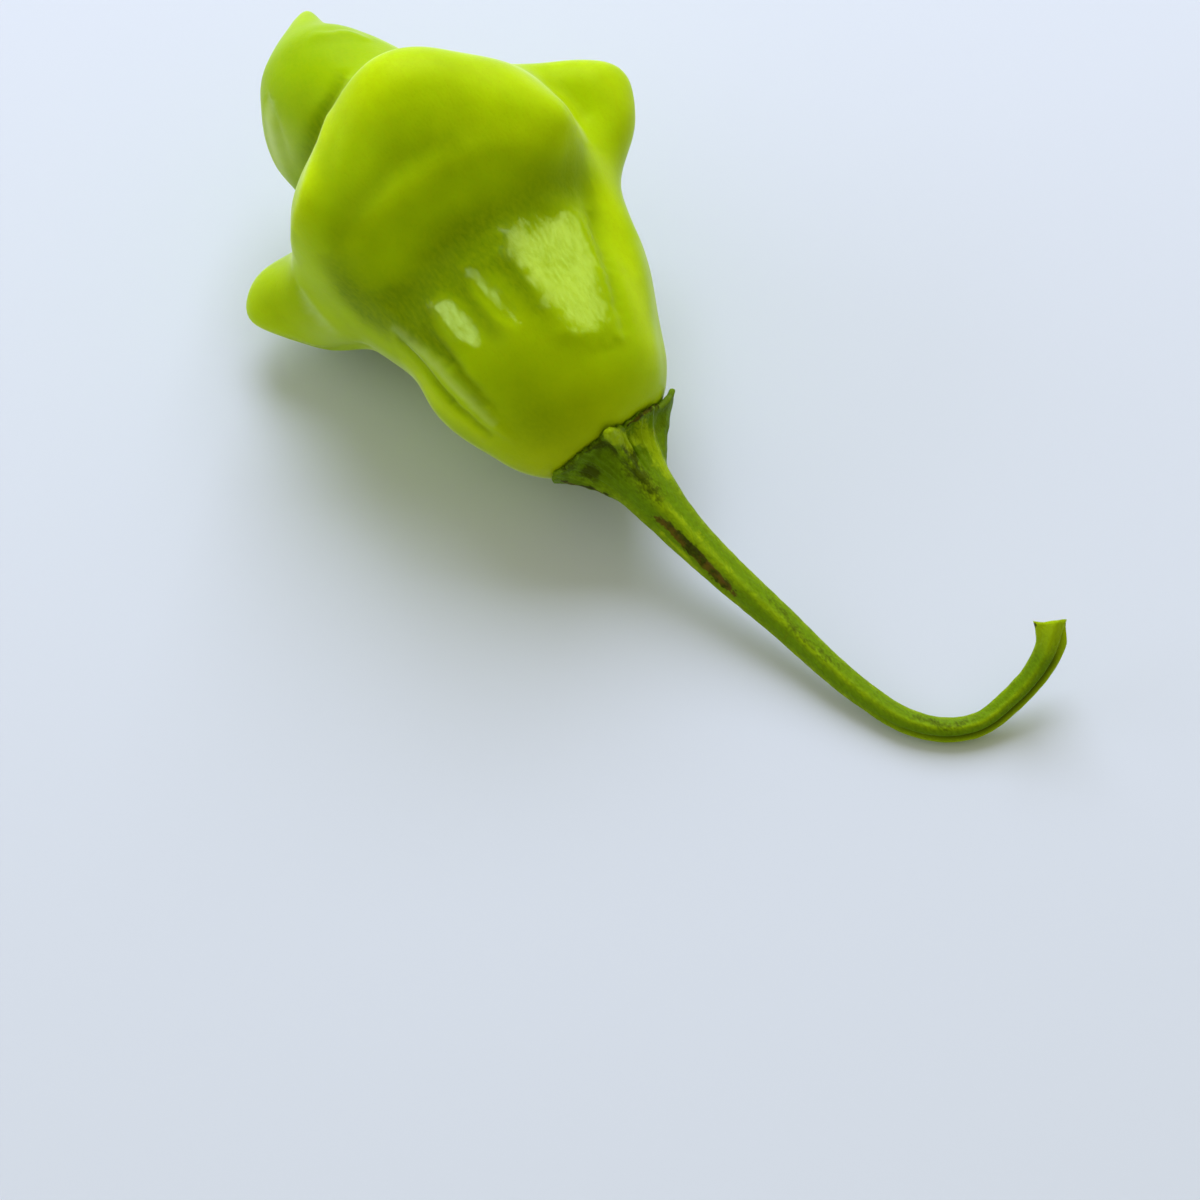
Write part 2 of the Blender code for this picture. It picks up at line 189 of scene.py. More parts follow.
FOLD_SAMPLES = 40

# Soft patches of another colour on the skin, many of them painted shade, painted light or painted sheen: which
# colour, centre and reach in the pod's frame, and strength
Tint = namedtuple("Tint", "kind name centre reach strength")
POD_TINTS = (
    Tint("gold", "round the calyx", (0.002, -0.006, 0.006), (0.008, 0.012, 0.012), 0.8),
    Tint("leafy", "blossom end", (0.065, -0.003, 0.001), (0.010, 0.012, 0.010), 0.9),
    Tint("leafy", "lower side", (0.030, 0.000, -0.018), (0.022, 0.020, 0.011), 0.7),
    # painted shade: darker patches where shade falls, in the hollows, between the wings, under the blossom end
    # and on sides turned from the light
    Tint("painted_shade_and_mottle", "neck, left of the front", (0.0280, -0.0131, 0.0115), (0.0045, 0.0035, 0.0040), 1.00),
    Tint("painted_shade_and_mottle", "left of the calyx", (0.0063, -0.0060, 0.0112), (0.0050, 0.0050, 0.0050), 0.60),
    Tint("painted_shade_and_mottle", "brow's front", (0.0391, 0.0054, 0.0203), (0.0045, 0.0050, 0.0040), 0.28),
    Tint("painted_shade_and_mottle", "brow's left foot", (0.0378, -0.0136, 0.0157), (0.0040, 0.0035, 0.0040), 0.35),
    Tint("painted_shade_and_mottle", "front of the neck", (0.0224, -0.0001, 0.0166), (0.0045, 0.0022, 0.0040), 0.35),
    Tint("painted_shade_and_mottle", "lower right groove", (0.0210, 0.0105, -0.0110), (0.0120, 0.0050, 0.0050), 0.40),
    Tint("painted_shade_and_mottle", "between lower and right wings", (0.0430, 0.0130, -0.0140), (0.0090, 0.0060, 0.0060), 0.50),
    Tint("painted_shade_and_mottle", "between lower and left wings", (0.0420, -0.0130, -0.0160), (0.0090, 0.0060, 0.0060), 0.50),
    Tint("painted_shade_and_mottle", "under the blossom end", (0.0550, 0.0020, -0.0130), (0.0060, 0.0100, 0.0060), 0.55),
    Tint("painted_shade_and_mottle", "tops of the ribs", (0.0262, -0.0012, 0.0160), (0.0026, 0.0055, 0.0040), 0.7),
    Tint("painted_shade_and_mottle", "left of the ribs", (0.0262, -0.0105, 0.0132), (0.0035, 0.0028, 0.0040), 0.5),
    Tint("painted_shade_and_mottle", "waist, left", (0.0335, -0.0158, 0.0095), (0.0050, 0.0035, 0.0045), 0.5),
    Tint("painted_shade_and_mottle", "behind the brow", (0.0540, -0.0125, -0.0015), (0.0045, 0.0040, 0.0060), 0.6),
    # painted sheen: pale reflection painted on the blossom end's left side and the left wing
    Tint("pale", "left of the blossom end", (0.0583, -0.0118, 0.0006), (0.0040, 0.0030, 0.0040), 0.35),
    Tint("pale", "left wing, near side", (0.0351, -0.0218, -0.0048), (0.0040, 0.0030, 0.0030), 0.25),
    # painted light: brighter patches on the parts that face the light
    Tint("painted_light", "left part of the brow's crest", (0.0494, 0.0006, 0.0219), (0.0045, 0.0050, 0.0040), 0.45),
    Tint("painted_light", "lower wing", (0.0430, 0.0010, -0.0270), (0.0080, 0.0080, 0.0050), 0.40),
    Tint("painted_light", "right wing", (0.036, 0.028, -0.001), (0.010, 0.007, 0.010), 0.5),
    Tint("painted_light", "brow's right corner", (0.0413, 0.0235, 0.0040), (0.0040, 0.0040, 0.0050), 0.4),
    Tint("painted_light", "lower neck", (0.0160, 0.0000, 0.0155), (0.0055, 0.0055, 0.0060), 0.45),
    Tint("painted_light", "left wing", (0.044, -0.026, -0.006), (0.006, 0.005, 0.007), 0.3),
)
# Lines of another colour along a route over the skin: painted light, painted shade and painted sheen
Stroke = namedtuple("Stroke", "kind name width strength route")
POD_STROKES = (
    # painted light: bright lines along the lit crests, rims and ridges
    Stroke("painted_light", "brow's crest", 0.0042, 0.60, (
        (0.0517, -0.0060, 0.0165), (0.0520, 0.0, 0.0195), (0.0508, 0.0061, 0.0212), (0.0477, 0.0101, 0.0202),
        (0.0451, 0.0139, 0.0182), (0.0400, 0.0185, 0.0150), (0.0355, 0.0200, 0.0125))),
    Stroke("painted_light", "brow's left rim", 0.0022, 0.9, (
        (0.0560, -0.0020, 0.0110), (0.0517, -0.0060, 0.0165), (0.0492, -0.0097, 0.0164),
        (0.0458, -0.0133, 0.0172), (0.0442, -0.0169, 0.0127))),
    Stroke("painted_light", "right ridge", 0.0026, 0.8, (
        (0.0320, 0.0213, 0.0027), (0.0268, 0.0187, 0.0045), (0.0187, 0.0158, 0.0055),
        (0.0131, 0.0138, 0.0063), (0.0081, 0.0121, 0.0059), (0.0037, 0.0097, 0.0054))),
    Stroke("painted_light", "brow's front", 0.0034, 0.55, (
        (0.0425, 0.0050, 0.0213), (0.0389, 0.0098, 0.0197), (0.0356, 0.0130, 0.0179),
        (0.0338, 0.0165, 0.0148), (0.0330, 0.0190, 0.0090))),
    # painted sheen: a pale line of reflection along the outer left rib
    Stroke("pale", "outer left rib", 0.0007, 0.30, (
        (0.0275, -0.0145, 0.0105), (0.0252, -0.0137, 0.0108), (0.0209, -0.0128, 0.0115),
        (0.0165, -0.0122, 0.0117), (0.0125, -0.0115, 0.0106), (0.0089, -0.0106, 0.0088))),
    # painted light along the neck's left edge and the soft rib under the brow
    Stroke("painted_light", "left edge of the neck", 0.0016, 0.6, (
        (0.0248, -0.0165, 0.0050), (0.0190, -0.0152, 0.0062), (0.0140, -0.0140, 0.0060),
        (0.0085, -0.0122, 0.0045))),
    Stroke("painted_light", "soft rib under the brow", 0.0014, 0.35, (
        (0.0364, -0.0139, 0.0144), (0.0374, -0.0102, 0.0176), (0.0376, -0.0060, 0.0192),
        (0.0375, -0.0013, 0.0201), (0.0374, 0.0033, 0.0200), (0.0363, 0.0078, 0.0189))),
    # painted shade: dark lines along the hollows and grooves, and on the flank turned from the light
    Stroke("painted_shade_and_mottle", "above the soft rib", 0.0014, 0.35, (
        (0.0388, -0.0143, 0.0155), (0.0393, -0.0100, 0.0187), (0.0405, -0.0041, 0.0206),
        (0.0403, 0.0009, 0.0212), (0.0396, 0.0045, 0.0209), (0.0380, 0.0075, 0.0200))),
    Stroke("painted_shade_and_mottle", "left flank", 0.0024, 0.55, (
        (0.0388, -0.0150, 0.0145), (0.0353, -0.0158, 0.0115), (0.0310, -0.0160, 0.0085),
        (0.0270, -0.0150, 0.0090))),
    Stroke("painted_shade_and_mottle", "hollow under the brow", 0.0034, 0.90, (
        (0.0262, -0.0135, 0.0105), (0.0284, -0.0068, 0.0152), (0.0294, -0.0014, 0.0163),
        (0.0290, 0.0033, 0.0163), (0.0286, 0.0083, 0.0152), (0.0292, 0.0147, 0.0101),
        (0.0290, 0.0170, 0.0060))),
    Stroke("painted_shade_and_mottle", "behind the brow's left rim", 0.0016, 0.85, (
        (0.0590, 0.0002, 0.0081), (0.0576, -0.0022, 0.0085), (0.0566, -0.0050, 0.0075),
        (0.0556, -0.0078, 0.0053), (0.0540, -0.0110, 0.0010))),
    Stroke("painted_shade_and_mottle", "middle groove of the front", 0.0019, 0.9, (
        (0.0270, 0.0022, 0.0165), (0.0205, 0.0022, 0.0163), (0.0140, 0.0024, 0.0155))),
    Stroke("painted_shade_and_mottle", "left groove of the front", 0.0014, 0.8, (
        (0.0280, -0.0045, 0.0160), (0.0210, -0.0042, 0.0158), (0.0160, -0.0042, 0.0158))),
    Stroke("painted_shade_and_mottle", "left of the front", 0.0018, 0.6, (
        (0.0282, -0.0123, 0.0121), (0.0232, -0.0110, 0.0125), (0.0180, -0.0105, 0.0125))),
    Stroke("painted_shade_and_mottle", "outer left groove", 0.0006, 0.8, (
        (0.0260, -0.0146, 0.0095), (0.0233, -0.0141, 0.0095), (0.0168, -0.0136, 0.0089),
        (0.0119, -0.0129, 0.0076), (0.0085, -0.0118, 0.0065))),
    Stroke("painted_shade_and_mottle", "inner left groove", 0.0010, 0.8, (
        (0.0285, -0.0120, 0.0125), (0.0240, -0.0113, 0.0126), (0.0198, -0.0105, 0.0128),
        (0.0153, -0.0103, 0.0122), (0.0110, -0.0100, 0.0108))),
    Stroke("painted_shade_and_mottle", "valley beside the right ridge", 0.0012, 0.35, (
        (0.0255, 0.0155, 0.0072), (0.0225, 0.0143, 0.0080), (0.0179, 0.0128, 0.0095),
        (0.0124, 0.0108, 0.0104))),
    # painted sheen: pale lines of reflection along the rims, edges and creases
    Stroke("pale", "brow's right corner", 0.0010, 0.12, (
        (0.0430, 0.0200, 0.0090), (0.0395, 0.0215, 0.0080), (0.0360, 0.0215, 0.0070),
        (0.0325, 0.0200, 0.0070))),
    Stroke("pale", "brow's left rim", 0.0007, 0.35, (
        (0.0568, -0.0018, 0.0092), (0.0517, -0.0070, 0.0160), (0.0492, -0.0107, 0.0160),
        (0.0460, -0.0150, 0.0150))),
    Stroke("pale", "right edge of the neck", 0.0014, 0.40, (
        (0.0194, 0.0184, 0.0021), (0.0119, 0.0153, 0.0022), (0.0055, 0.0118, 0.0035),
        (0.0020, 0.0095, 0.0020))),
    Stroke("pale", "left wing, crease", 0.0009, 0.35, (
        (0.0412, -0.0210, 0.0014), (0.0387, -0.0216, -0.0005), (0.0355, -0.0210, -0.0024))),
    Stroke("pale", "blossom end, left side", 0.0012, 0.5, (
        (0.0650, -0.0090, 0.0018), (0.0624, -0.0116, 0.0002), (0.0596, -0.0130, -0.0008),
        (0.0566, -0.0136, -0.0030))),
)
# the kinds of tint: leafy and gold tone, painted light, painted shade with the skin's mottle, and pale painted
# sheen
POD_KINDS = ("leafy", "painted_light", "gold", "painted_shade_and_mottle", "pale")
# folds and strokes fade out towards their two ends: a lower power fades out nearer to the end
FOLD_FADE = 0.5
STROKE_FADE = 0.3
# the skin is smooth under the calyx: its soft lumps start and are full at these distances along the pod
LUMPY_FROM = 0.004
LUMPY_AT = 0.010

# the calyx's edge: turn round the pod in degrees, distance off the pod's axis, and lift off the pod
CALYX_EDGE = (
    (-20, 0.0082, 0.0), (-3, 0.0097, 0.0005), (8, 0.0076, 0.0001), (18, 0.0071, 0.0), (30, 0.0072, 0.0002),
    (42, 0.0071, 0.0002), (58, 0.0063, 0.0), (70, 0.0062, 0.0), (78, 0.0068, 0.0001), (84, 0.0076, 0.0003),
    (88, 0.0083, 0.0005), (91, 0.0088, 0.0006), (94, 0.0074, 0.0002), (98, 0.0069, 0.0), (107, 0.0068, 0.0),
    (120, 0.0072, 0.0), (134, 0.0074, 0.0),
    (150, 0.0080, 0.0), (176, 0.0087, 0.0001),
    (205, 0.0078, 0.0), (235, 0.0093, 0.0002), (268, 0.0078, 0.0), (300, 0.0095, 0.0002), (325, 0.0078, 0.0),
)
# the edge is ragged by this much, from notch to notch on a circle of radius 1
RAG = 0.0007
RAG_LENGTH = 0.07
# a tooth lifts off the pod mostly at its outer end: its lift goes with this power of the way out
TOOTH_CURL = 3
# how many rings the calyx's lower side has, and the angles at which its round edge has one
LOWER_RINGS = 8
EDGE_TURNS = (-45.0, 0.0, 45.0)
# how much of a ridge's pale colour that edge has
EDGE_RIDGE = 0.3
# how firmly the calyx leaves the pod, and how firmly it runs into the round stalk
EDGE_PULL = 0.0085
STALK_PULL = 0.0050
STALK_FOLDS = (
    Fold("pale tooth", 0.0007, 0.0004, (
        (0.0008, -0.0004, 0.0096), (-0.0008, 0.0007, 0.0078), (-0.0016, 0.0017, 0.0061),
        (-0.0040, 0.0024, 0.0046))),
    Fold("beside the pale tooth", 0.0008, -0.0003, (
        (-0.0003, 0.0041, 0.0064), (-0.0013, 0.0033, 0.0056), (-0.0035, 0.0030, 0.0040))),
    Fold("rib of the tall tooth", 0.0007, 0.0003, (
        (0.0010, 0.0098, 0.0008), (-0.0011, 0.0070, 0.0030), (-0.0035, 0.0050, 0.0030),
        (-0.0070, 0.0040, 0.0025))),
    Fold("scar", 0.0006, -0.00015, (
        (-0.0106, -0.0016, 0.0028), (-0.0135, -0.0007, 0.0025), (-0.0160, -0.0003, 0.0020),
        (-0.0180, 0.0002, 0.0016), (-0.0228, 0.0008, 0.0009), (-0.0260, 0.0012, 0.0005))),
)
STALK_TINTS = (
    Tint("moss", "left blotch", (-0.0018, -0.0044, 0.0036), (0.0012, 0.0014, 0.0014), 0.9),
    Tint("moss", "left end", (0.0004, -0.0066, 0.0040), (0.0008, 0.0014, 0.0014), 0.7),
    Tint("moss", "dot", (-0.0022, 0.0048, 0.0028), (0.0003, 0.0003, 0.0003), 1.0),
    Tint("bark", "spur", (-0.0508, 0.0288, 0.0030), (0.0005, 0.0005, 0.0005), 0.75),
)
STALK_STROKES = (
    Stroke("moss", "under the pale tooth", 0.0008, 0.85, (
        (0.0002, -0.0035, 0.0070), (-0.0010, -0.0006, 0.0064), (-0.0033, 0.0010, 0.0045),
        (-0.0045, 0.0015, 0.0040))),
    Stroke("moss", "lower blotch", 0.0013, 0.60, (
        (-0.0034, -0.0010, 0.0043), (-0.0061, 0.0003, 0.0047), (-0.0089, 0.0004, 0.0038),
        (-0.0108, 0.0004, 0.0036))),
    Stroke("crest", "pale tooth", 0.0010, 1.0, (
        (0.0035, -0.0014, 0.0118), (0.0008, -0.0004, 0.0096), (-0.0008, 0.0007, 0.0078),
        (-0.0018, 0.0018, 0.0061), (-0.0030, 0.0026, 0.0048))),
    # painted light: a pale stroke along the stalk's lit right side
    Stroke("crest", "right side", 0.0014, 0.65, (
        (-0.0003, 0.0050, 0.0050), (-0.0018, 0.0040, 0.0036), (-0.0034, 0.0039, 0.0027),
        (-0.0053, 0.0039, 0.0023), (-0.0090, 0.0036, 0.0016))),
    Stroke("bark", "upper rim", 0.0004, 0.8, (
        (-0.0012, 0.0022, 0.0062), (-0.0003, 0.0040, 0.0058), (0.0002, 0.0060, 0.0046),
        (0.0006, 0.0078, 0.0030))),
    Stroke("bark", "lower rim", 0.0006, 0.75, (
        (0.0004, -0.0082, 0.0022), (-0.0009, -0.0074, 0.0006), (-0.0032, -0.0057, 0.0010),
        (-0.0056, -0.0045, 0.0014))),
    Stroke("bark", "scar", 0.0008, 0.95, (
        (-0.0106, -0.0016, 0.0028), (-0.0135, -0.0007, 0.0025), (-0.0160, -0.0003, 0.0020),
        (-0.0180, 0.0002, 0.0016), (-0.0205, 0.0005, 0.0012), (-0.0228, 0.0008, 0.0009),
        (-0.0260, 0.0012, 0.0005))),
    Stroke("moss", "top of the stalk's middle", 0.0006, 0.42, (
        (-0.0270, 0.0040, 0.0010), (-0.0302, 0.0046, 0.0008), (-0.0346, 0.0047, 0.0012),
        (-0.0374, 0.0054, 0.0012), (-0.0410, 0.0065, 0.0012))),
    Stroke("moss", "top of the stalk's bend", 0.0006, 0.42, (
        (-0.0500, 0.0095, 0.0014), (-0.0527, 0.0114, 0.0014), (-0.0549, 0.0131, 0.0015),
        (-0.0554, 0.0165, 0.0005))),
    Stroke("crest", "beside the scar", 0.0006, 0.40, (
        (-0.0095, 0.0008, 0.0038), (-0.0133, 0.0012, 0.0029), (-0.0164, 0.0018, 0.0023),
        (-0.0212, 0.0024, 0.0016), (-0.0247, 0.0028, 0.0014))),
    Stroke("crest", "below the scar", 0.0004, 0.5, (
        (-0.0120, -0.0024, 0.0020), (-0.0144, -0.0017, 0.0016), (-0.0173, -0.0012, 0.0010),
        (-0.0207, -0.0006, 0.0004))),
)
STALK_KINDS = ("moss", "crest", "bark")

# the stalk's middle line, measured from the calyx seat, and its radius at distances along that line
STALK_ROUTE = (
    (0.0, 0.0, 0.0), (0.0063, -0.0020, -0.0014), (0.0127, -0.0035, -0.0034), (0.0209, -0.0046, -0.0058),
    (0.0297, -0.0056, -0.0076), (0.0385, -0.0070, -0.0090), (0.0444, -0.0075, -0.0098),
    (0.0500, -0.0073, -0.0103), (0.0547, -0.0055, -0.0104), (0.0579, -0.0024, -0.0101),
    (0.0595, 0.0016, -0.0088), (0.0605, 0.0055, -0.0066), (0.0606, 0.0083, -0.0044),
    (0.0601, 0.0104, -0.0022),
)
STALK_RADII = (
    (0.0075, 0.0036), (0.012, 0.00295), (0.017, 0.00255), (0.028, 0.0021), (0.037, 0.0018), (0.047, 0.0016),
    (0.055, 0.0015), (0.062, 0.0014), (0.070, 0.0015), (0.078, 0.0018),
)
RIDGES = 5
# at the torn end: where the spur stands out, which strip ends early, and which way the end slants
SPUR_TURN = math.radians(12)
SPUR_WIDTH = math.radians(20)
STRIP_TURN = math.radians(196)
STRIP_WIDTH = math.radians(46)
# a groove that runs beside that strip, and where along the stalk it starts and is full
GROOVE_TURN = math.radians(146)
GROOVE_WIDTH = math.radians(11)
GROOVE_LENGTHS = (0.046, 0.060)
SLANT_TURN = math.radians(140)
# how far the torn end's raw colour runs down the stalk, and how deep its hollow is
RAW_LENGTH = 0.004
HOLLOW_DEPTH = 0.0004
# how uneven the round stalk is, as a share of the calyx's unevenness
STALK_LUMPS = 0.3
# curves are measured on this many points, and their direction over these short steps
LINE_SAMPLES = 4001
PROFILE_STEP = 0.0001
STALK_STEP = 0.0004
# points of a piece that are closer than this become one
POD_MERGE = 0.000001
STALK_MERGE = 0.0000005


def length_property(name, description, default):
    """A size in metres."""
    return FloatProperty(name=name, description=description, default=default, unit="LENGTH")


def angle_property(name, description, degrees):
    """An angle, shown in degrees."""
    return FloatProperty(name=name, description=description, default=math.radians(degrees), subtype="ANGLE",
                         unit="ROTATION")


def colour_property(name, description, default):
    """A colour, as linear light."""
    return FloatVectorProperty(name=name, description=description, default=default, subtype="COLOR",
                               min=0.0, max=1.0)


def count_property(name, description, default, least):
    """A number of faces."""
    return IntProperty(name=name, description=description, default=default, min=least)


class PodShape(bpy.types.PropertyGroup):
    """How the pod lies, and how finely its skin is made."""
    seat: FloatVectorProperty(name="Calyx seat", description="Where the pod and the stalk meet",
                              default=(0.0041, -0.0151, 0.0120), subtype="TRANSLATION", unit="LENGTH")
    heading: angle_property("Heading", "Turn of the pod on the surface", 162.0)
    climb: angle_property("Climb", "Rise of the pod from the calyx to the blossom end", 15.0)
    roll: angle_property("Roll", "Turn of the pod about its own length", 18.0)
    sides: count_property("Sides", "Faces round the pod", 240, 16)
    rings: count_property("Rings", "Faces along the pod", 190, 16)
    lump_height: length_property("Lumps", "Height of the skin's soft unevenness", 0.00012)
    lump_length: length_property("Lump length", "Distance from one soft lump to the next", 0.006)


class StalkShape(bpy.types.PropertyGroup):
    """Sizes of the calyx and the stalk."""
    gap: length_property("Gap", "Space between the pod and the calyx", 0.0001)
    centre_radius: length_property("Inner radius", "Where the calyx starts, off the pod's axis", 0.0015)
    thickness: length_property("Thickness", "Thickness of the calyx's edge", 0.0007)
    funnel_length: length_property("Funnel length", "From the seat to the round stalk", 0.0075)
    ridge_height: FloatProperty(name="Ridges", description="Height of the ridges as a share of the radius",
                                default=0.10)
    ridge_turn: angle_property("Ridge turn", "Turn of the first ridge round the stalk", 20.0)
    tear_length: length_property("Torn length", "Length of the stalk's torn end", 0.0044)
    spur: length_property("Spur", "How far the spur stands out", 0.0011)
    tip: length_property("Tip", "How far the torn end rises over the round stalk", 0.0009)
    groove: length_property("Groove", "Depth of the groove beside the outer strip", 0.00035)
    strip: length_property("Strip", "How far the outer strip stands out", 0.00025)
    slant: length_property("Slant", "How far the torn end slants", 0.0011)
    tear: length_property("Tear", "How much earlier the outer strip ends", 0.0037)
    sides: count_property("Sides", "Faces round the stalk", 160, 12)
    funnel_rings: count_property("Funnel rings", "Faces along the calyx", 44, 4)
    tube_rings: count_property("Stalk rings", "Faces along the stalk", 230, 12)
    lump_height: length_property("Lumps", "Height of the calyx's unevenness", 0.00016)
    lump_length: length_property("Lump length", "Distance from one lump to the next", 0.0012)


class SkinColours(bpy.types.PropertyGroup):
    """Colours of the skins, as linear light."""
    lime: colour_property("Lime", "Most of the pod", (0.42, 0.62, 0.001))
    leafy: colour_property("Leafy", "The pod's blossom end and lower side", (0.29, 0.49, 0.001))
    # painted light: a brighter yellow-lime painted where the light falls on crests, wings and rims
    painted_light: colour_property("Painted light", "Painted light on the pod's crests, wings and rims that face the light", (0.60, 0.80, 0.002))
    gold: colour_property("Gold", "The pod round the calyx", (0.46, 0.54, 0.001))
    # painted shade: the darker green painted where shade falls in hollows, creases and under the lobes; the
    # skin's own blotches and pores take it too
    painted_shade_and_mottle: colour_property("Painted shade and mottle", "Painted shade in the pod's hollows, and its darker mottle", (0.17, 0.275, 0.001))
    # painted sheen: the pale, bluish reflection painted on the skin's rims, edges and creases
    pale: colour_property("Painted sheen", "Painted sheen: pale reflection on the pod's rims and edges", (0.62, 0.76, 0.30))
    leaf: colour_property("Leaf", "The stalk's facets", (0.15, 0.28, 0.002))
    # the stalk's own pale ridges and torn end, and painted light on its lit right side
    crest: colour_property("Crest", "The stalk's ridges and torn end, and painted light on its lit side", (0.38, 0.52, 0.004))
    moss: colour_property("Moss", "The calyx's dark blotches", (0.048, 0.072, 0.001))
    bark: colour_property("Bark", "The darker parts of the scars", (0.024, 0.021, 0.002))
    rust: colour_property("Rust", "The redder parts of the scars", (0.11, 0.052, 0.008))


class StageLook(bpy.types.PropertyGroup):
    """The surface, the light and the camera."""
    floor_colour: colour_property("Surface", "Colour of the surface", (0.69, 0.725, 0.855))
    floor_size: length_property("Surface size", "Width of the surface", 4.0)
    sky_colour: colour_property("Room", "Colour of the light from all round", (1.0, 1.0, 0.65))
    sky_strength: FloatProperty(name="Room strength", description="Strength of the light from all round",
                                default=0.42)
    light_level: FloatProperty(name="Light", description="Strength of the windows", default=1.0)
    camera_azimuth: angle_property("Camera azimuth", "Turn of the camera round the pepper", 35.0)
    camera_height: angle_property("Camera height", "Angle of the camera above the surface", 60.0)
    lens: FloatProperty(name="Lens", description="Focal length in millimetres", default=85.0)
    pixel: FloatProperty(name="Pixel", description="Width that one image pixel covers at the target",
                         default=0.000125, unit="LENGTH", precision=6)


IMAGE_SIDE = 1200
SENSOR_WIDTH = 36.0
# the camera looks at a point this far to the right of the calyx seat and away from the camera
TARGET_RIGHT = -0.00175
TARGET_AWAY = -0.0231


def curve(start, go, end, arrive, s):
    """The point at share s of a curve that leaves start with slope go and comes to end with slope arrive."""
    near = (2 * s**3 - 3 * s**2 + 1) * start + (s**3 - 2 * s**2 + s) * go
    return near + (3 * s**2 - 2 * s**3) * end + (s**3 - s**2) * arrive


def line_lengths(line):
    """How far along the line each of its points is."""
    return np.concatenate([[0.0], np.cumsum(np.linalg.norm(np.diff(line, axis=0), axis=1))])


def smooth_line(points, shares):
    """The points at these shares, 0 to 1, of the length of one smooth curve through the given points."""
    points = np.array(points, float)
    steps = np.sqrt(np.linalg.norm(np.diff(points, axis=0), axis=1))[:, None]
    knots = np.concatenate([[0.0], np.cumsum(steps)])
    speeds = np.diff(points, axis=0) / steps
    middle = (speeds[1:] * steps[:-1] + speeds[:-1] * steps[1:]) / (steps[1:] + steps[:-1])
    slopes = np.vstack([speeds[:1], middle, speeds[-1:]])

    def at(knot):
        span = np.clip(np.searchsorted(knots, knot, side="right") - 1, 0, len(steps) - 1)
        step = steps[span]
        share = (knot - knots[span])[:, None] / step
        return curve(points[span], step * slopes[span], points[span + 1], step * slopes[span + 1], share)

    fine = np.linspace(0.0, knots[-1], LINE_SAMPLES)
    lengths = line_lengths(at(fine))
    return at(np.interp(np.asarray(shares) * lengths[-1], lengths, fine))


def pod_axes(pod):
    """The pod's own axes in the world, as the columns of a matrix: along it, to its right, to its front."""
    along = Vector((math.cos(pod.heading) * math.cos(pod.climb),
                    math.sin(pod.heading) * math.cos(pod.climb),
                    math.sin(pod.climb)))
    level = Vector((math.sin(pod.heading), -math.cos(pod.heading), 0.0))
    above = level.cross(along)
    side = level * math.cos(pod.roll) + above * math.sin(pod.roll)
    front = above * math.cos(pod.roll) - level * math.sin(pod.roll)
    return np.array(Matrix((along, side, front)).transposed())


def formed(points):
    """Points of the plain turned pod, moved by each of the pod's forms in turn."""
    for form in POD_FORMS:
        far = (((points - form.centre) / form.reach) ** 2).sum(axis=1)
        points = points + np.exp(-far)[:, None] * form.move
    return points


def in_world(pod, points):
    """Points of the pod's own frame, in the world."""
    return np.array(pod.seat) + points @ pod_axes(pod).T


def nearest_on(points, places):
    """The nearest of the points to each of the places."""
    tree = KDTree(len(points))
    for index, point in enumerate(points):
        tree.insert(point, index)
    tree.balance()
    return np.array([tree.find(place)[0] for place in places])


def along_route(points, route):
    """How far each point is from a route laid on the skin, and how far along the route it is, 0 to 1."""
    line = nearest_on(points, smooth_line(route, np.linspace(0.0, 1.0, FOLD_SAMPLES)))
    far = np.full(len(points), np.inf)
    share = np.zeros(len(points))
    for start, end, index in zip(line, line[1:], range(FOLD_SAMPLES - 1)):
        way = end - start
        reach = np.clip(((points - start) @ way) / max(way @ way, PROFILE_STEP**2), 0.0, 1.0)
        away = np.linalg.norm(points - start - reach[:, None] * way, axis=1)
        closer = away < far
        far[closer] = away[closer]
        share[closer] = (index + reach[closer]) / (FOLD_SAMPLES - 1)
    return far, share


def flattened(points):
    """The formed pod's points with the skin's flat facets, and how much each point belongs to a facet."""
    glossy = np.zeros(len(points))
    lumpy = lumps(points, STRAY_LENGTH)
    for facet in POD_FACETS:
        corners = np.array(facet.corners)
        normal = np.array(Vector(facet.normal).normalized())
        across = np.cross(normal, (1.0, 0.0, 0.0))
        across /= np.linalg.norm(across)
        axes = np.stack([np.cross(across, normal), across], axis=1)
        outline = (corners - corners.mean(axis=0)) @ axes
        flat = (points - corners.mean(axis=0)) @ axes
        above = (points - corners.mean(axis=0)) @ normal
        rounding = facet.edge * FACET_ROUNDING
        stray = lumpy * facet.edge * FACET_STRAY
        nearness = np.zeros(len(points))
        middle = outline.mean(axis=0)
        for start, end in zip(outline, np.roll(outline, -1, axis=0)):
            way = (end - start) / np.linalg.norm(end - start)
            inward = np.array((-way[1], way[0]))
            inward *= np.sign((middle - start) @ inward)
            nearness += np.exp(-(flat - start) @ inward / rounding)
        inside = -rounding * np.log(nearness)
        share = np.clip((inside + stray) / facet.edge + 0.5, 0.0, 1.0)
        shallow = np.abs(above) < FACET_DEPTH
        share = share * share * (3 - 2 * share) * shallow
        points = points - normal * (above * share * FACET_SHARE)[:, None]
        deep_inside = np.clip((inside + 2 * stray + GLOSS_SPREAD) / facet.fade, 0.0, 1.0)
        glossy = np.maximum(glossy, deep_inside * shallow * facet.gloss)
    return points, glossy


def folded(points, normals, folds):
    """Points of a skin, moved by its ribs and grooves."""
    moved = points.copy()
    for fold in folds:
        far, share = along_route(points, fold.route)
        height = fold.height * np.exp(-((far / fold.width) ** 2)) * np.sin(np.pi * share) ** FOLD_FADE
        moved += normals * height[:, None]
    return moved


def lumps(points, length):
    """Soft unevenness, about -1 to 1, with this distance from lump to lump."""
    return np.array([noise.noise(Vector(point) / length) for point in points])


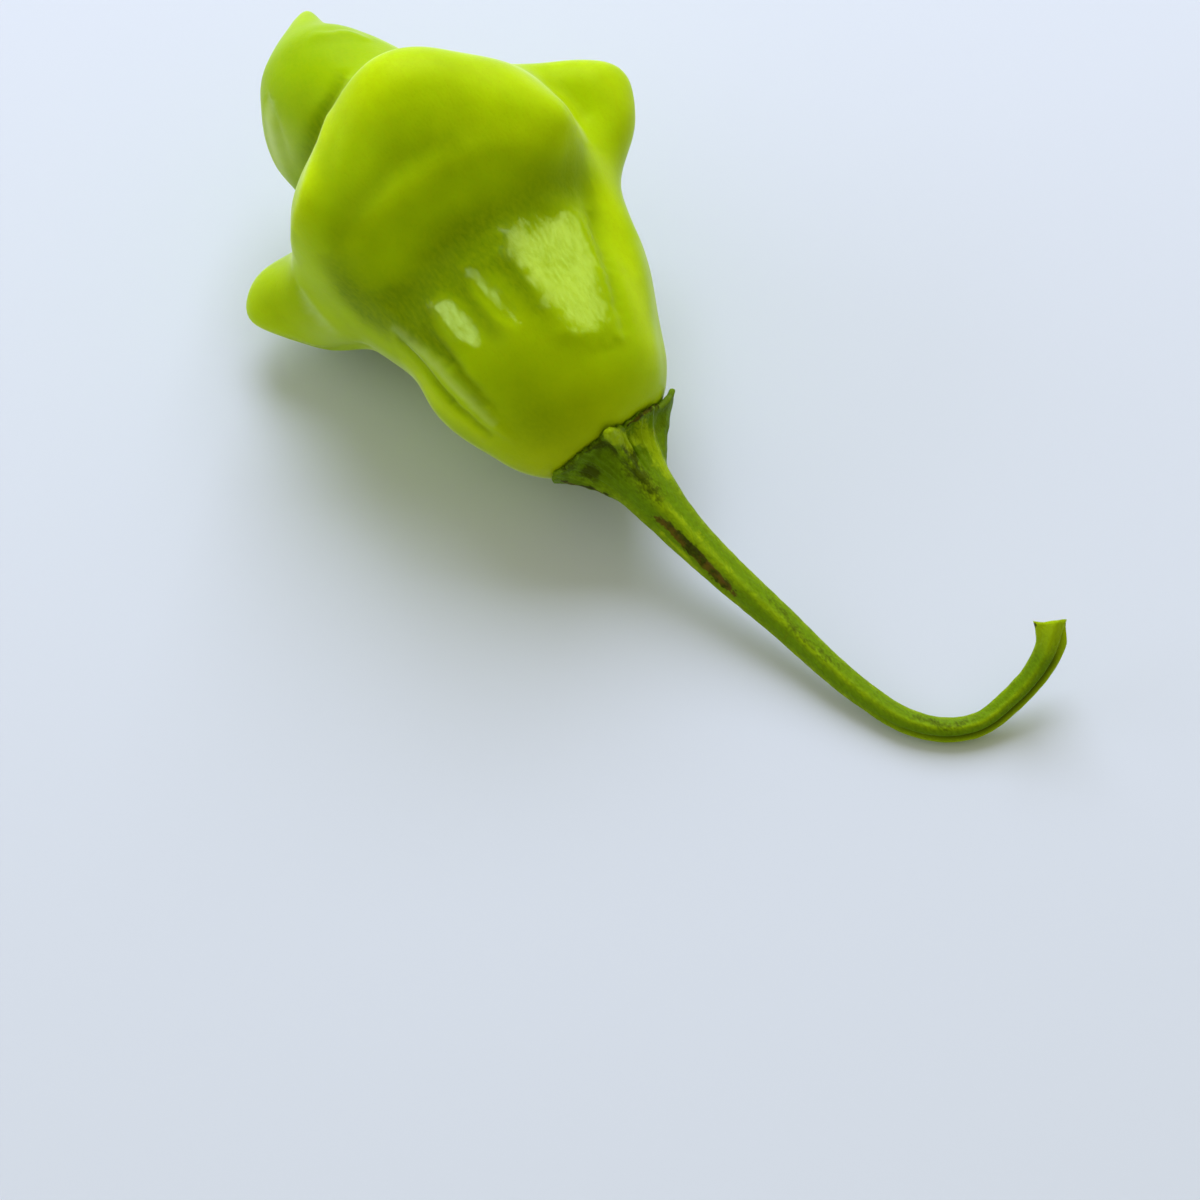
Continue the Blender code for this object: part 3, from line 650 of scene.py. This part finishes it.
def tinted(points, kinds, tints, strokes):
    """How much of each kind of tint is at each point of a skin."""
    amounts = {kind: np.zeros(len(points)) for kind in kinds}
    for tint in tints:
        far = (((points - tint.centre) / tint.reach) ** 2).sum(axis=1)
        amounts[tint.kind] += tint.strength * np.exp(-far)
    for stroke in strokes:
        far, share = along_route(points, stroke.route)
        ends = np.sin(np.pi * share) ** STROKE_FADE
        amounts[stroke.kind] += stroke.strength * np.exp(-((far / stroke.width) ** 2)) * ends
    return {kind: np.minimum(amount, 1.0) for kind, amount in amounts.items()}


def place_verts(form, places, masks):
    """Move the form's points, and store each mask in a layer that the materials read."""
    layers = {name: form.verts.layers.float.new(name) for name in masks}
    for index, vert in enumerate(form.verts):
        vert.co = places[index]
        for name, layer in layers.items():
            vert[layer] = float(masks[name][index])


def close_mesh(form, name, material):
    """Turn the finished form into a smooth-shaded object of its own that rides on the pepper's one body."""
    bmesh.ops.recalc_face_normals(form, faces=form.faces)
    mesh = bpy.data.meshes.new(name)
    form.to_mesh(mesh)
    form.free()
    mesh.shade_smooth()
    mesh.materials.append(material)
    piece = bpy.data.objects.new(name, mesh)
    bpy.context.scene.collection.objects.link(piece)
    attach(piece, "root")
    return piece


def add_node(tree, kind, **values):
    """A shader node with these properties."""
    node = tree.nodes.new(kind)
    for name, value in values.items():
        setattr(node, name, value)
    return node


def set_inputs(node, values):
    """Set these inputs of a node to constant values."""
    for name, value in values.items():
        node.inputs[name].default_value = value


def mask_of(tree, name):
    """The output that reads a mask stored on the mesh."""
    return add_node(tree, "ShaderNodeAttribute", attribute_name=name).outputs["Fac"]


def mixed(tree, amount, first, second):
    """A colour that goes from the first to the second by the amount."""
    node = add_node(tree, "ShaderNodeMix", data_type="RGBA")
    for name, value in (("Factor", amount), ("A", first), ("B", second)):
        if isinstance(value, bpy.types.NodeSocket):
            tree.links.new(value, node.inputs[name])
        else:
            node.inputs[name].default_value = (*value, 1.0)
    return node.outputs["Result"]


def maths(tree, operation, *values):
    """The result of one sum of outputs and numbers."""
    node = add_node(tree, "ShaderNodeMath", operation=operation)
    for socket, value in zip(node.inputs, values):
        if isinstance(value, bpy.types.NodeSocket):
            tree.links.new(value, socket)
        else:
            socket.default_value = value
    return node.outputs[0]


def ramp(tree, value, low, high, to_low=0.0, to_high=1.0):
    """The value taken from low and high to a new range, and kept inside it."""
    node = add_node(tree, "ShaderNodeMapRange", clamp=True)
    tree.links.new(value, node.inputs["Value"])
    set_inputs(node, {"From Min": low, "From Max": high, "To Min": to_low, "To Max": to_high})
    return node.outputs["Result"]


def mottle_group():
    """A node group that gives skin its blotches, fine grain and pores as masks, 0 to 1."""
    found = bpy.data.node_groups.get("skin mottle")
    if found:
        return found
    group = bpy.data.node_groups.new("skin mottle", "ShaderNodeTree")
    for name, default in (("Blotch Length", 0.006), ("Grain Length", 0.0006), ("Stretch", 2.5)):
        socket = group.interface.new_socket(name=name, in_out="INPUT", socket_type="NodeSocketFloat")
        socket.default_value = default
    group.interface.new_socket(name="Vector", in_out="INPUT", socket_type="NodeSocketVector")
    for name in ("Blotch", "Grain", "Pores"):
        group.interface.new_socket(name=name, in_out="OUTPUT", socket_type="NodeSocketFloat")
    given = group.nodes.new("NodeGroupInput").outputs
    result = group.nodes.new("NodeGroupOutput").inputs
    squeeze = add_node(group, "ShaderNodeCombineXYZ")
    set_inputs(squeeze, {"Y": 1.0, "Z": 1.0})
    group.links.new(maths(group, "DIVIDE", 1.0, given["Stretch"]), squeeze.inputs["X"])
    stretched = add_node(group, "ShaderNodeVectorMath", operation="MULTIPLY")
    group.links.new(given["Vector"], stretched.inputs[0])
    group.links.new(squeeze.outputs[0], stretched.inputs[1])
    for name, vector, detail in (("Blotch", given["Vector"], 3.0), ("Grain", stretched.outputs[0], 5.0)):
        cloud = add_node(group, "ShaderNodeTexNoise")
        cloud.inputs["Detail"].default_value = detail
        group.links.new(vector, cloud.inputs["Vector"])
        group.links.new(maths(group, "DIVIDE", 1.0, given[name + " Length"]), cloud.inputs["Scale"])
        group.links.new(ramp(group, cloud.outputs["Fac"], 0.3, 0.7), result[name])
    cells = add_node(group, "ShaderNodeTexVoronoi")
    group.links.new(given["Vector"], cells.inputs["Vector"])
    group.links.new(maths(group, "DIVIDE", 1.0, given["Grain Length"]), cells.inputs["Scale"])
    group.links.new(ramp(group, cells.outputs["Distance"], 0.0, 0.6), result["Pores"])
    return group


def add_mottle(tree, vector, blotch, grain, stretch):
    """The mottle group in a material, with its own lengths."""
    node = add_node(tree, "ShaderNodeGroup", node_tree=mottle_group())
    set_inputs(node, {"Blotch Length": blotch, "Grain Length": grain, "Stretch": stretch})
    tree.links.new(vector, node.inputs["Vector"])
    return node.outputs


def add_relief(tree, shader, strength, distance, height):
    """Fine relief on a skin."""
    bump = add_node(tree, "ShaderNodeBump")
    set_inputs(bump, {"Strength": strength, "Distance": distance})
    tree.links.new(height, bump.inputs["Height"])
    tree.links.new(bump.outputs["Normal"], shader.inputs["Normal"])


def new_material(name):
    """An empty material with a Principled shader, its tree and its shader."""
    material = bpy.data.materials.new(name)
    material.use_nodes = True
    return material, material.node_tree, material.node_tree.nodes["Principled BSDF"]


def turned_place(tree, pod):
    """Object coordinates, turned so that their X runs along the pod."""
    turn = add_node(tree, "ShaderNodeMapping", vector_type="TEXTURE")
    set_inputs(turn, {"Location": pod.seat, "Rotation": Matrix(pod_axes(pod)).to_euler()})
    tree.links.new(add_node(tree, "ShaderNodeTexCoord").outputs["Object"], turn.inputs["Vector"])
    return turn.outputs["Vector"]


def pod_skin(pod, colours):
    """The pod's waxy skin: golden by the calyx, with painted shade in its hollows, painted light on its lit
    crests, a pale painted sheen on its rims, and glossy facets.
    """
    material, tree, shader = new_material("pod skin")
    place = turned_place(tree, pod)
    mottle = add_mottle(tree, place, 0.0055, 0.00045, 2.5)
    colour = mixed(tree, mask_of(tree, "leafy"), colours.lime, colours.leafy)
    # painted light on the lit crests, wings and rims
    colour = mixed(tree, mask_of(tree, "painted_light"), colour, colours.painted_light)
    colour = mixed(tree, mask_of(tree, "gold"), colour, colours.gold)
    # painted shade in the hollows and creases
    colour = mixed(tree, mask_of(tree, "painted_shade_and_mottle"), colour, colours.painted_shade_and_mottle)
    # the skin's own darker blotches and pores, in the same green as the painted shade
    blotch = ramp(tree, mottle["Blotch"], 0.0, 1.0, 0.0, 0.24)
    colour = mixed(tree, blotch, colour, colours.painted_shade_and_mottle)
    grain = ramp(tree, mottle["Grain"], 0.0, 1.0, 0.0, 0.26)
    colour = mixed(tree, grain, colour, colours.gold)
    pores = ramp(tree, mottle["Pores"], 0.0, 0.5, 0.14, 0.0)
    colour = mixed(tree, pores, colour, colours.painted_shade_and_mottle)
    # painted sheen on the rims, edges and creases
    colour = mixed(tree, mask_of(tree, "pale"), colour, colours.pale)
    # painted reflection: the skin turns pale towards its outline, where it faces away from the camera
    edge = add_node(tree, "ShaderNodeLayerWeight")
    edge.inputs["Blend"].default_value = 0.5
    turned_away = ramp(tree, edge.outputs["Facing"], 0.80, 1.0, 0.0, 0.75)
    rim = maths(tree, "MULTIPLY", mask_of(tree, "rim"), turned_away)
    colour = mixed(tree, rim, colour, colours.pale)
    tree.links.new(colour, shader.inputs["Base Color"])
    uneven = maths(tree, "ADD", ramp(tree, mottle["Grain"], 0.0, 1.0, 0.0, 0.55),
                   ramp(tree, mottle["Blotch"], 0.2, 1.0, 0.0, 0.25))
    gloss = maths(tree, "SUBTRACT", mask_of(tree, "glossy"), uneven)
    tree.links.new(ramp(tree, gloss, 0.0, 0.75, 0.0, 0.90), shader.inputs["Coat Weight"])
    add_relief(tree, shader, 0.35, 0.00003, maths(tree, "ADD", mottle["Grain"], mottle["Pores"]))
    set_inputs(shader, {
        "Coat Roughness": 0.15, "Coat IOR": 1.45,
        "Roughness": 0.36, "IOR": 1.45, "Specular IOR Level": 0.05, "Specular Tint": (0.8, 1.0, 0.18, 1.0),
        "Subsurface Weight": 0.45, "Subsurface Radius": (1.0, 1.0, 0.15), "Subsurface Scale": 0.0020})
    return material


def ragged(tree, mask, fuzz, low=0.55, high=0.95):
    """A soft mask with a crisp edge that strays with the fuzz."""
    return ramp(tree, maths(tree, "ADD", mask, fuzz), low, high)


def stalk_skin(pod, colours):
    """The stalk's green skin: pale ridges, a brown scar, dark blotches on the calyx, a raw torn end, and
    painted light on its lit right side.
    """
    material, tree, shader = new_material("stalk skin")
    place = turned_place(tree, pod)
    mottle = add_mottle(tree, place, 0.0016, 0.00030, 2.0)
    ridge = maths(tree, "MULTIPLY", mask_of(tree, "ridge"), ramp(tree, mottle["Blotch"], 0.0, 1.0, 0.7, 0.15))
    colour = mixed(tree, ridge, colours.leaf, colours.crest)
    blotch = ramp(tree, mottle["Blotch"], 0.25, 0.85, 0.0, 0.50)
    colour = mixed(tree, maths(tree, "MULTIPLY", mask_of(tree, "calyx"), blotch), colour, colours.moss)
    fuzz = maths(tree, "MULTIPLY", maths(tree, "ADD", mottle["Grain"], mottle["Blotch"]), 0.35)
    colour = mixed(tree, ragged(tree, mask_of(tree, "moss"), fuzz), colour, colours.moss)
    colour = mixed(tree, ramp(tree, mottle["Grain"], 0.0, 1.0, 0.0, 0.40), colour, colours.moss)
    colour = mixed(tree, maths(tree, "MULTIPLY", mask_of(tree, "strip"), 0.7), colour, colours.crest)
    colour = mixed(tree, maths(tree, "MULTIPLY", mask_of(tree, "groove"), 0.8), colour, colours.moss)
    # pale marks on the calyx and beside the scar, with painted light on the stalk's lit right side
    pale = maths(tree, "MULTIPLY", ragged(tree, mask_of(tree, "crest"), fuzz), 0.85)
    colour = mixed(tree, pale, colour, colours.crest)
    scar = maths(tree, "MULTIPLY", ragged(tree, mask_of(tree, "bark"), fuzz, 0.70, 0.88),
                 ramp(tree, mottle["Grain"], 0.1, 0.9, 1.0, 0.8))
    brown = mixed(tree, ramp(tree, mottle["Blotch"], 0.3, 0.7), colours.rust, colours.bark)
    colour = mixed(tree, mask_of(tree, "raw"), colour, colours.crest)
    colour = mixed(tree, scar, colour, brown)
    tree.links.new(colour, shader.inputs["Base Color"])
    tree.links.new(ramp(tree, mottle["Blotch"], 0.0, 1.0, 0.35, 0.55), shader.inputs["Roughness"])
    add_relief(tree, shader, 0.6, 0.00008, maths(tree, "ADD", mottle["Grain"], mottle["Blotch"]))
    set_inputs(shader, {
        "Specular IOR Level": 0.15, "Specular Tint": (0.9, 1.0, 0.1, 1.0),
        "Subsurface Weight": 0.2, "Subsurface Radius": (1.0, 1.0, 0.15), "Subsurface Scale": 0.0006})
    return material


class PEPPER_OT_pod(bpy.types.Operator):
    """Spin the pod's profile, pull its lobes and folds out of it, and give it its waxy skin"""
    bl_idname = "pepper.pod"
    bl_label = "Pod"
    bl_options = {"REGISTER", "UNDO"}

    def execute(self, context):
        pod = context.scene.pepper_pod
        form = bmesh.new()
        even = np.linspace(0.0, 1.0, pod.rings + 1)
        shares = even - END_CROWDING * np.sin(2 * np.pi * even) / (2 * np.pi)
        profile = [form.verts.new((along, 0.0, radius)) for along, radius in smooth_line(POD_PROFILE, shares)]
        edges = [form.edges.new(pair) for pair in zip(profile, profile[1:])]
        bmesh.ops.spin(form, geom=profile + edges, cent=(0, 0, 0), axis=(1, 0, 0), angle=2 * math.pi,
                       steps=pod.sides, use_merge=True)
        bmesh.ops.remove_doubles(form, verts=form.verts, dist=POD_MERGE)
        bmesh.ops.recalc_face_normals(form, faces=form.faces)
        points = formed(np.array([vert.co for vert in form.verts]))
        for vert, point in zip(form.verts, points):
            vert.co = point
        form.normal_update()
        normals = np.array([vert.normal for vert in form.verts])
        skin, glossy = flattened(folded(points, normals, POD_FOLDS))
        clear_of_calyx = np.clip((skin[:, 0] - LUMPY_FROM) / (LUMPY_AT - LUMPY_FROM), 0.0, 1.0)
        uneven = lumps(skin, pod.lump_length) * pod.lump_height * clear_of_calyx
        skin += normals * uneven[:, None]
        masks = tinted(skin, POD_KINDS, POD_TINTS, POD_STROKES)
        masks["glossy"] = glossy
        # how much painted rim sheen each point takes
        masks["rim"] = np.interp(skin[:, 0], *np.array(RIM_SHEEN_SHARES).T)
        places = in_world(pod, skin)
        places[:, 2] = np.maximum(places[:, 2], 0.0)
        place_verts(form, places, masks)
        piece = close_mesh(form, "pod_skin", pod_skin(pod, context.scene.pepper_colours))
        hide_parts("pod")
        return {"FINISHED"}


def round_pod(turns):
    """Directions straight out from the pod's axis at these turns."""
    return np.stack([np.zeros(len(turns)), np.cos(turns), np.sin(turns)], axis=1)


class CalyxSeat:
    """The pod's end, as the calyx follows it."""

    def __init__(self, pod):
        self.pod = pod
        self.axes = pod_axes(pod)
        profile = smooth_line(POD_PROFILE, np.linspace(0.0, 1.0, LINE_SAMPLES))
        self.profile = profile[:profile[:, 1].argmax()]
        self.lengths = line_lengths(self.profile)

    def length_at(self, radius):
        """How far along its profile the pod has this radius."""
        return np.interp(radius, self.profile[:, 1], self.lengths)

    def on_profile(self, length):
        """The profile's points, along the axis and off it, at these lengths."""
        return np.stack([np.interp(length, self.lengths, column) for column in self.profile.T], axis=1)

    def off_skin(self, length, turns, off):
        """Places off the skin at lengths along its profile, and the ways back to its centre, in the world."""
        length = np.broadcast_to(length, turns.shape)
        here = self.on_profile(length)
        ahead = self.on_profile(length + PROFILE_STEP)
        way = (ahead - here) / np.linalg.norm(ahead - here, axis=1)[:, None]
        along = here[:, 0] - off * way[:, 1]
        radius = here[:, 1] + off * way[:, 0]
        out = round_pod(turns)
        places = radius[:, None] * out
        places[:, 0] = along
        back = -way[:, 1:] * out
        back[:, 0] = -way[:, 0]
        return in_world(self.pod, formed(places)), back @ self.axes.T


def ridged(stalk, turns):
    """The stalk's radius at these turns as a share of its mean one."""
    return 1.0 + stalk.ridge_height * (ridge_share(stalk, turns) - 0.5)


def ridge_share(stalk, turns):
    """1 on the crest of a ridge, 0 between two."""
    wave = (1.0 + np.cos(RIDGES * (turns - stalk.ridge_turn))) / 2
    return wave**2


def groove_share(turns):
    """1 in the middle of the groove beside the stalk's outer strip, 0 away from it."""
    return np.exp(-(((turns - GROOVE_TURN) / GROOVE_WIDTH) ** 2))


def strip_share(turns):
    """1 on the stalk's outer strip, 0 away from it."""
    return np.exp(-(((turns - STRIP_TURN) / STRIP_WIDTH) ** 4))


def calyx_edge(turns):
    """The calyx's ragged edge at these turns: its distance off the pod's axis, and its lift off the pod."""
    table = np.array(CALYX_EDGE)
    degrees = np.degrees(turns)
    radius, lift = (np.interp(degrees, table[:, 0], column, period=360) for column in table.T[1:])
    return radius + lumps(round_pod(turns), RAG_LENGTH) * RAG, lift


def tube_rings(pod, stalk, turns, side):
    """The rings of the round stalk, how far along it each one is, and the bottom of the torn end's hollow."""
    line = np.array(pod.seat) + smooth_line(STALK_ROUTE, np.linspace(0.0, 1.0, LINE_SAMPLES))
    far = line_lengths(line)
    lengths = np.linspace(stalk.funnel_length, far[-1], stalk.tube_rings + 1)
    rings = []
    for length in lengths:
        middle = np.array([np.interp(length, far, column) for column in line.T])
        behind = np.array([np.interp(length - STALK_STEP, far, column) for column in line.T])
        way = (middle - behind) / np.linalg.norm(middle - behind)
        side = side - way * (side @ way)
        side = side / np.linalg.norm(side)
        out = np.cos(turns)[:, None] * side + np.sin(turns)[:, None] * np.cross(way, side)
        radius = np.interp(length, *np.array(STALK_RADII).T)
        torn = np.clip(1.0 - (far[-1] - length) / stalk.tear_length, 0.0, 1.0)
        spur = stalk.spur * torn**3 * np.exp(-(((turns - SPUR_TURN) / SPUR_WIDTH) ** 2))
        parted = stalk.strip * strip_share(turns) - stalk.groove * groove_share(turns)
        parted *= np.interp(length, GROOVE_LENGTHS, (0.0, 1.0))
        ring = middle + out * (radius * ridged(stalk, turns) + spur + parted)[:, None]
        rise = stalk.tip + stalk.slant * np.cos(turns - SLANT_TURN) - stalk.tear * strip_share(turns)
        ring = ring + way * (torn**2 * rise)[:, None]
        rings.append(ring)
    return rings, lengths, middle - way * HOLLOW_DEPTH


def stalk_rings(pod, stalk, turns):
    """The rings from inside the calyx to the torn end, their masks, and the bottom of the end's hollow."""
    seat = CalyxSeat(pod)
    centre_length = seat.length_at(stalk.centre_radius)
    edge_radius, lift = calyx_edge(turns)
    edge_length = seat.length_at(edge_radius)
    crest = ridge_share(stalk, turns)
    rings = []
    masks = {"calyx": [], "ridge": [], "raw": [], "groove": [], "strip": []}

    def add(places, calyx, ridge, raw=0.0, groove=0.0):
        rings.append(places)
        for name, value in (("calyx", calyx), ("ridge", ridge), ("raw", raw),
                            ("groove", groove * groove_share(turns)), ("strip", groove * strip_share(turns))):
            masks[name].append(np.broadcast_to(value, turns.shape))

    for share in np.linspace(0.0, 1.0, LOWER_RINGS):
        length = centre_length + (edge_length - centre_length) * share
        add(seat.off_skin(length, turns, stalk.gap + lift * share**TOOTH_CURL)[0], 1.0, 0.0)
    for angle in np.radians(EDGE_TURNS):
        length = edge_length + stalk.thickness / 4 * math.cos(angle)
        off = stalk.gap + lift + stalk.thickness / 2 * (1.0 + math.sin(angle))
        add(seat.off_skin(length, turns, off)[0], 1.0, EDGE_RIDGE)

    tube, lengths, hollow = tube_rings(pod, stalk, turns, seat.axes[:, 1])
    start, back = seat.off_skin(edge_length, turns, stalk.gap + lift + stalk.thickness)
    slope = (tube[1] - tube[0]) / (lengths[1] - lengths[0])
    for share in np.linspace(0.0, 1.0, stalk.funnel_rings):
        add(curve(start, back * EDGE_PULL, tube[0], slope * STALK_PULL, share), 1.0 - share**2, crest * share)
    for ring, length in zip(tube[1:], lengths[1:]):
        add(ring, 0.0, crest, np.clip((length - lengths[-1]) / RAW_LENGTH + 1.0, 0.0, 1.0),
            np.interp(length, GROOVE_LENGTHS, (0.0, 1.0)))
    return np.array(rings), {name: np.array(rows) for name, rows in masks.items()}, hollow


class PEPPER_OT_stalk(bpy.types.Operator):
    """Bend a grid into the calyx and the stalk, and give them their green skin"""
    bl_idname = "pepper.stalk"
    bl_label = "Stalk and calyx"
    bl_options = {"REGISTER", "UNDO"}

    def execute(self, context):
        pod = context.scene.pepper_pod
        stalk = context.scene.pepper_stalk
        turns = np.linspace(0.0, 2 * math.pi, stalk.sides + 1)
        rings, masks, hollow = stalk_rings(pod, stalk, turns)
        form = bmesh.new()
        bmesh.ops.create_grid(form, x_segments=stalk.sides, y_segments=len(rings) - 1, size=1.0)
        grid = np.array([vert.co for vert in form.verts])
        turn_index = np.rint((grid[:, 0] + 1) / 2 * stalk.sides).astype(int)
        ring_index = np.rint((grid[:, 1] + 1) / 2 * (len(rings) - 1)).astype(int)
        masks = {name: rows[ring_index, turn_index] for name, rows in masks.items()}
        places = rings[ring_index, turn_index]
        for vert, place in zip(form.verts, places):
            vert.co = place
        form.normal_update()
        axes = pod_axes(pod)
        skin = (places - np.array(pod.seat)) @ axes
        normals = np.array([vert.normal for vert in form.verts]) @ axes
        outward = np.sign((normals * (skin - skin.mean(axis=0))).sum())
        bumpy = folded(skin, normals * outward, STALK_FOLDS)
        lumpy = STALK_LUMPS + (1.0 - STALK_LUMPS) * masks["calyx"]
        uneven = lumps(bumpy, stalk.lump_length) * stalk.lump_height * lumpy
        bumpy += normals * uneven[:, None]
        masks.update(tinted(skin, STALK_KINDS, STALK_TINTS, STALK_STROKES))
        seam = turn_index == stalk.sides
        first = {ring: index for index, ring in enumerate(ring_index) if turn_index[index] == 0}
        twins = [first[ring] for ring in ring_index[seam]]
        bumpy[seam] = bumpy[twins]
        places = in_world(pod, bumpy)
        places[:, 2] = np.maximum(places[:, 2], 0.0)
        place_verts(form, places, masks)
        bmesh.ops.remove_doubles(form, verts=form.verts, dist=STALK_MERGE)
        rims = [edge for edge in form.edges if edge.is_boundary]
        caps = bmesh.ops.holes_fill(form, edges=rims, sides=0)["faces"]
        tip = min(caps, key=lambda face: (face.calc_center_median() - Vector(hollow)).length)
        bmesh.ops.poke(form, faces=[tip])["verts"][0].co = hollow
        piece = close_mesh(form, "stalk_skin", stalk_skin(pod, context.scene.pepper_colours))
        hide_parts("stalk")
        return {"FINISHED"}


def camera_directions(look):
    """Unit directions: from the target to the camera, to the image's right, and away over the surface."""
    azimuth, height = look.camera_azimuth, look.camera_height
    right = Vector((math.cos(azimuth), math.sin(azimuth), 0.0))
    away = Vector((-math.sin(azimuth), math.cos(azimuth), 0.0))
    return Vector((0.0, 0.0, math.sin(height))) - away * math.cos(height), right, away


# Each light is a soft rectangle that faces the pepper: its turn from straight behind the pepper towards the
# image's right, its height in degrees, its distance, its width and depth, its brightness and colour, and
# whether it lights the skins or only shows in their gloss.
Lamp = namedtuple("Lamp", "name turn height distance size brightness colour shades")
LAMPS = (
    Lamp("sky window", -2, 45, 1.10, (0.80, 0.75), 6.1, (0.93, 0.98, 1.15), True),
    Lamp("left window", -85, 20, 1.20, (0.90, 0.60), 1.5, (0.93, 0.98, 1.15), True),
    Lamp("far wall", -5, 16, 1.60, (2.6, 0.7), 0.7, (0.93, 0.98, 1.15), True),
    Lamp("right window in the gloss", 69, 46, 0.60, (0.45, 0.50), 6.0, (0.80, 1.0, 0.30), False),
    Lamp("left window in the gloss", -130, 45, 0.60, (0.35, 0.35), 7.2, (0.76, 1.0, 0.42), False),
)
LIGHT_TARGET = (-0.010, -0.005, 0.020)


def add_lamp(lamp, right, away, level):
    """One of the lights, facing the pepper."""
    turn, height = math.radians(lamp.turn), math.radians(lamp.height)
    direction = (away * math.cos(turn) + right * math.sin(turn)) * math.cos(height)
    direction.z += math.sin(height)
    light = bpy.data.lights.new(lamp.name, "AREA")
    light.shape = "RECTANGLE"
    light.size, light.size_y = lamp.size
    light.energy = level * lamp.brightness * math.pi * light.size * light.size_y
    light.color = lamp.colour
    thing = bpy.data.objects.new(lamp.name, light)
    thing.location = Vector(LIGHT_TARGET) + direction * lamp.distance
    thing.rotation_euler = direction.to_track_quat("Z", "Y").to_euler()
    thing.visible_diffuse = lamp.shades
    thing.visible_transmission = lamp.shades
    bpy.context.scene.collection.objects.link(thing)


class PEPPER_OT_stage(bpy.types.Operator):
    """Lay the pale surface, set the soft light, and stand the camera where the pepper is seen from"""
    bl_idname = "pepper.stage"
    bl_label = "Stage"
    bl_options = {"REGISTER", "UNDO"}

    def execute(self, context):
        look = context.scene.pepper_stage
        self.lay_floor(look)
        self.set_light(context, look)
        self.set_camera(context, look)
        context.scene.view_settings.view_transform = "Standard"
        return {"FINISHED"}

    def lay_floor(self, look):
        form = bmesh.new()
        bmesh.ops.create_grid(form, x_segments=1, y_segments=1, size=look.floor_size / 2)
        mesh = bpy.data.meshes.new("surface")
        form.to_mesh(mesh)
        form.free()
        material, _, shader = new_material("pale surface")
        set_inputs(shader, {
            "Base Color": (*look.floor_colour, 1.0), "Roughness": 0.9, "Specular IOR Level": 0.1})
        mesh.materials.append(material)
        floor = bpy.data.objects.new("surface", mesh)
        bpy.context.scene.collection.objects.link(floor)

    def set_light(self, context, look):
        world = bpy.data.worlds.new("sky")
        world.use_nodes = True
        set_inputs(world.node_tree.nodes["Background"],
                   {"Color": (*look.sky_colour, 1.0), "Strength": look.sky_strength})
        context.scene.world = world
        right, away = camera_directions(look)[1:]
        for lamp in LAMPS:
            add_lamp(lamp, right, away, look.light_level)

    def set_camera(self, context, look):
        back, right, away = camera_directions(look)
        target = Vector(context.scene.pepper_pod.seat) + TARGET_RIGHT * right + TARGET_AWAY * away
        lens = bpy.data.cameras.new("camera")
        lens.lens = look.lens
        lens.sensor_width = SENSOR_WIDTH
        lens.clip_start = 0.01
        camera = bpy.data.objects.new("camera", lens)
        distance = look.lens / SENSOR_WIDTH * IMAGE_SIDE * look.pixel
        camera.location = target + back * distance
        camera.rotation_euler = Matrix((right, back.cross(right), back)).transposed().to_euler()
        context.scene.collection.objects.link(camera)
        context.scene.camera = camera


class PEPPER_PT_panel(bpy.types.Panel):
    """The pepper's pieces and their sizes and colours"""
    bl_idname = "PEPPER_PT_panel"
    bl_label = "Chilli pepper"
    bl_space_type = "VIEW_3D"
    bl_region_type = "UI"
    bl_category = "Chilli"

    def draw(self, context):
        groups = (("pepper.pod", context.scene.pepper_pod), ("pepper.stalk", context.scene.pepper_stalk),
                  (None, context.scene.pepper_colours), ("pepper.stage", context.scene.pepper_stage))
        for operator, group in groups:
            box = self.layout.box()
            for name in group.bl_rna.properties.keys():
                if name not in {"rna_type", "name"}:
                    box.prop(group, name)
            if operator:
                box.operator(operator)


GROUPS = {"pepper_pod": PodShape, "pepper_stalk": StalkShape, "pepper_colours": SkinColours,
          "pepper_stage": StageLook}
OPERATORS = (PEPPER_OT_pod, PEPPER_OT_stalk, PEPPER_OT_stage)


def register():
    for item in (*GROUPS.values(), *OPERATORS, PEPPER_PT_panel):
        bpy.utils.register_class(item)
    for name, group in GROUPS.items():
        setattr(bpy.types.Scene, name, PointerProperty(type=group))


def unregister():
    for name in GROUPS:
        delattr(bpy.types.Scene, name)
    for item in reversed((*GROUPS.values(), *OPERATORS, PEPPER_PT_panel)):
        bpy.utils.unregister_class(item)


def main():
    register()
    bpy.ops.pepper.pod()
    bpy.ops.pepper.stalk()
    bpy.ops.pepper.stage()


if __name__ == "__main__":
    main()
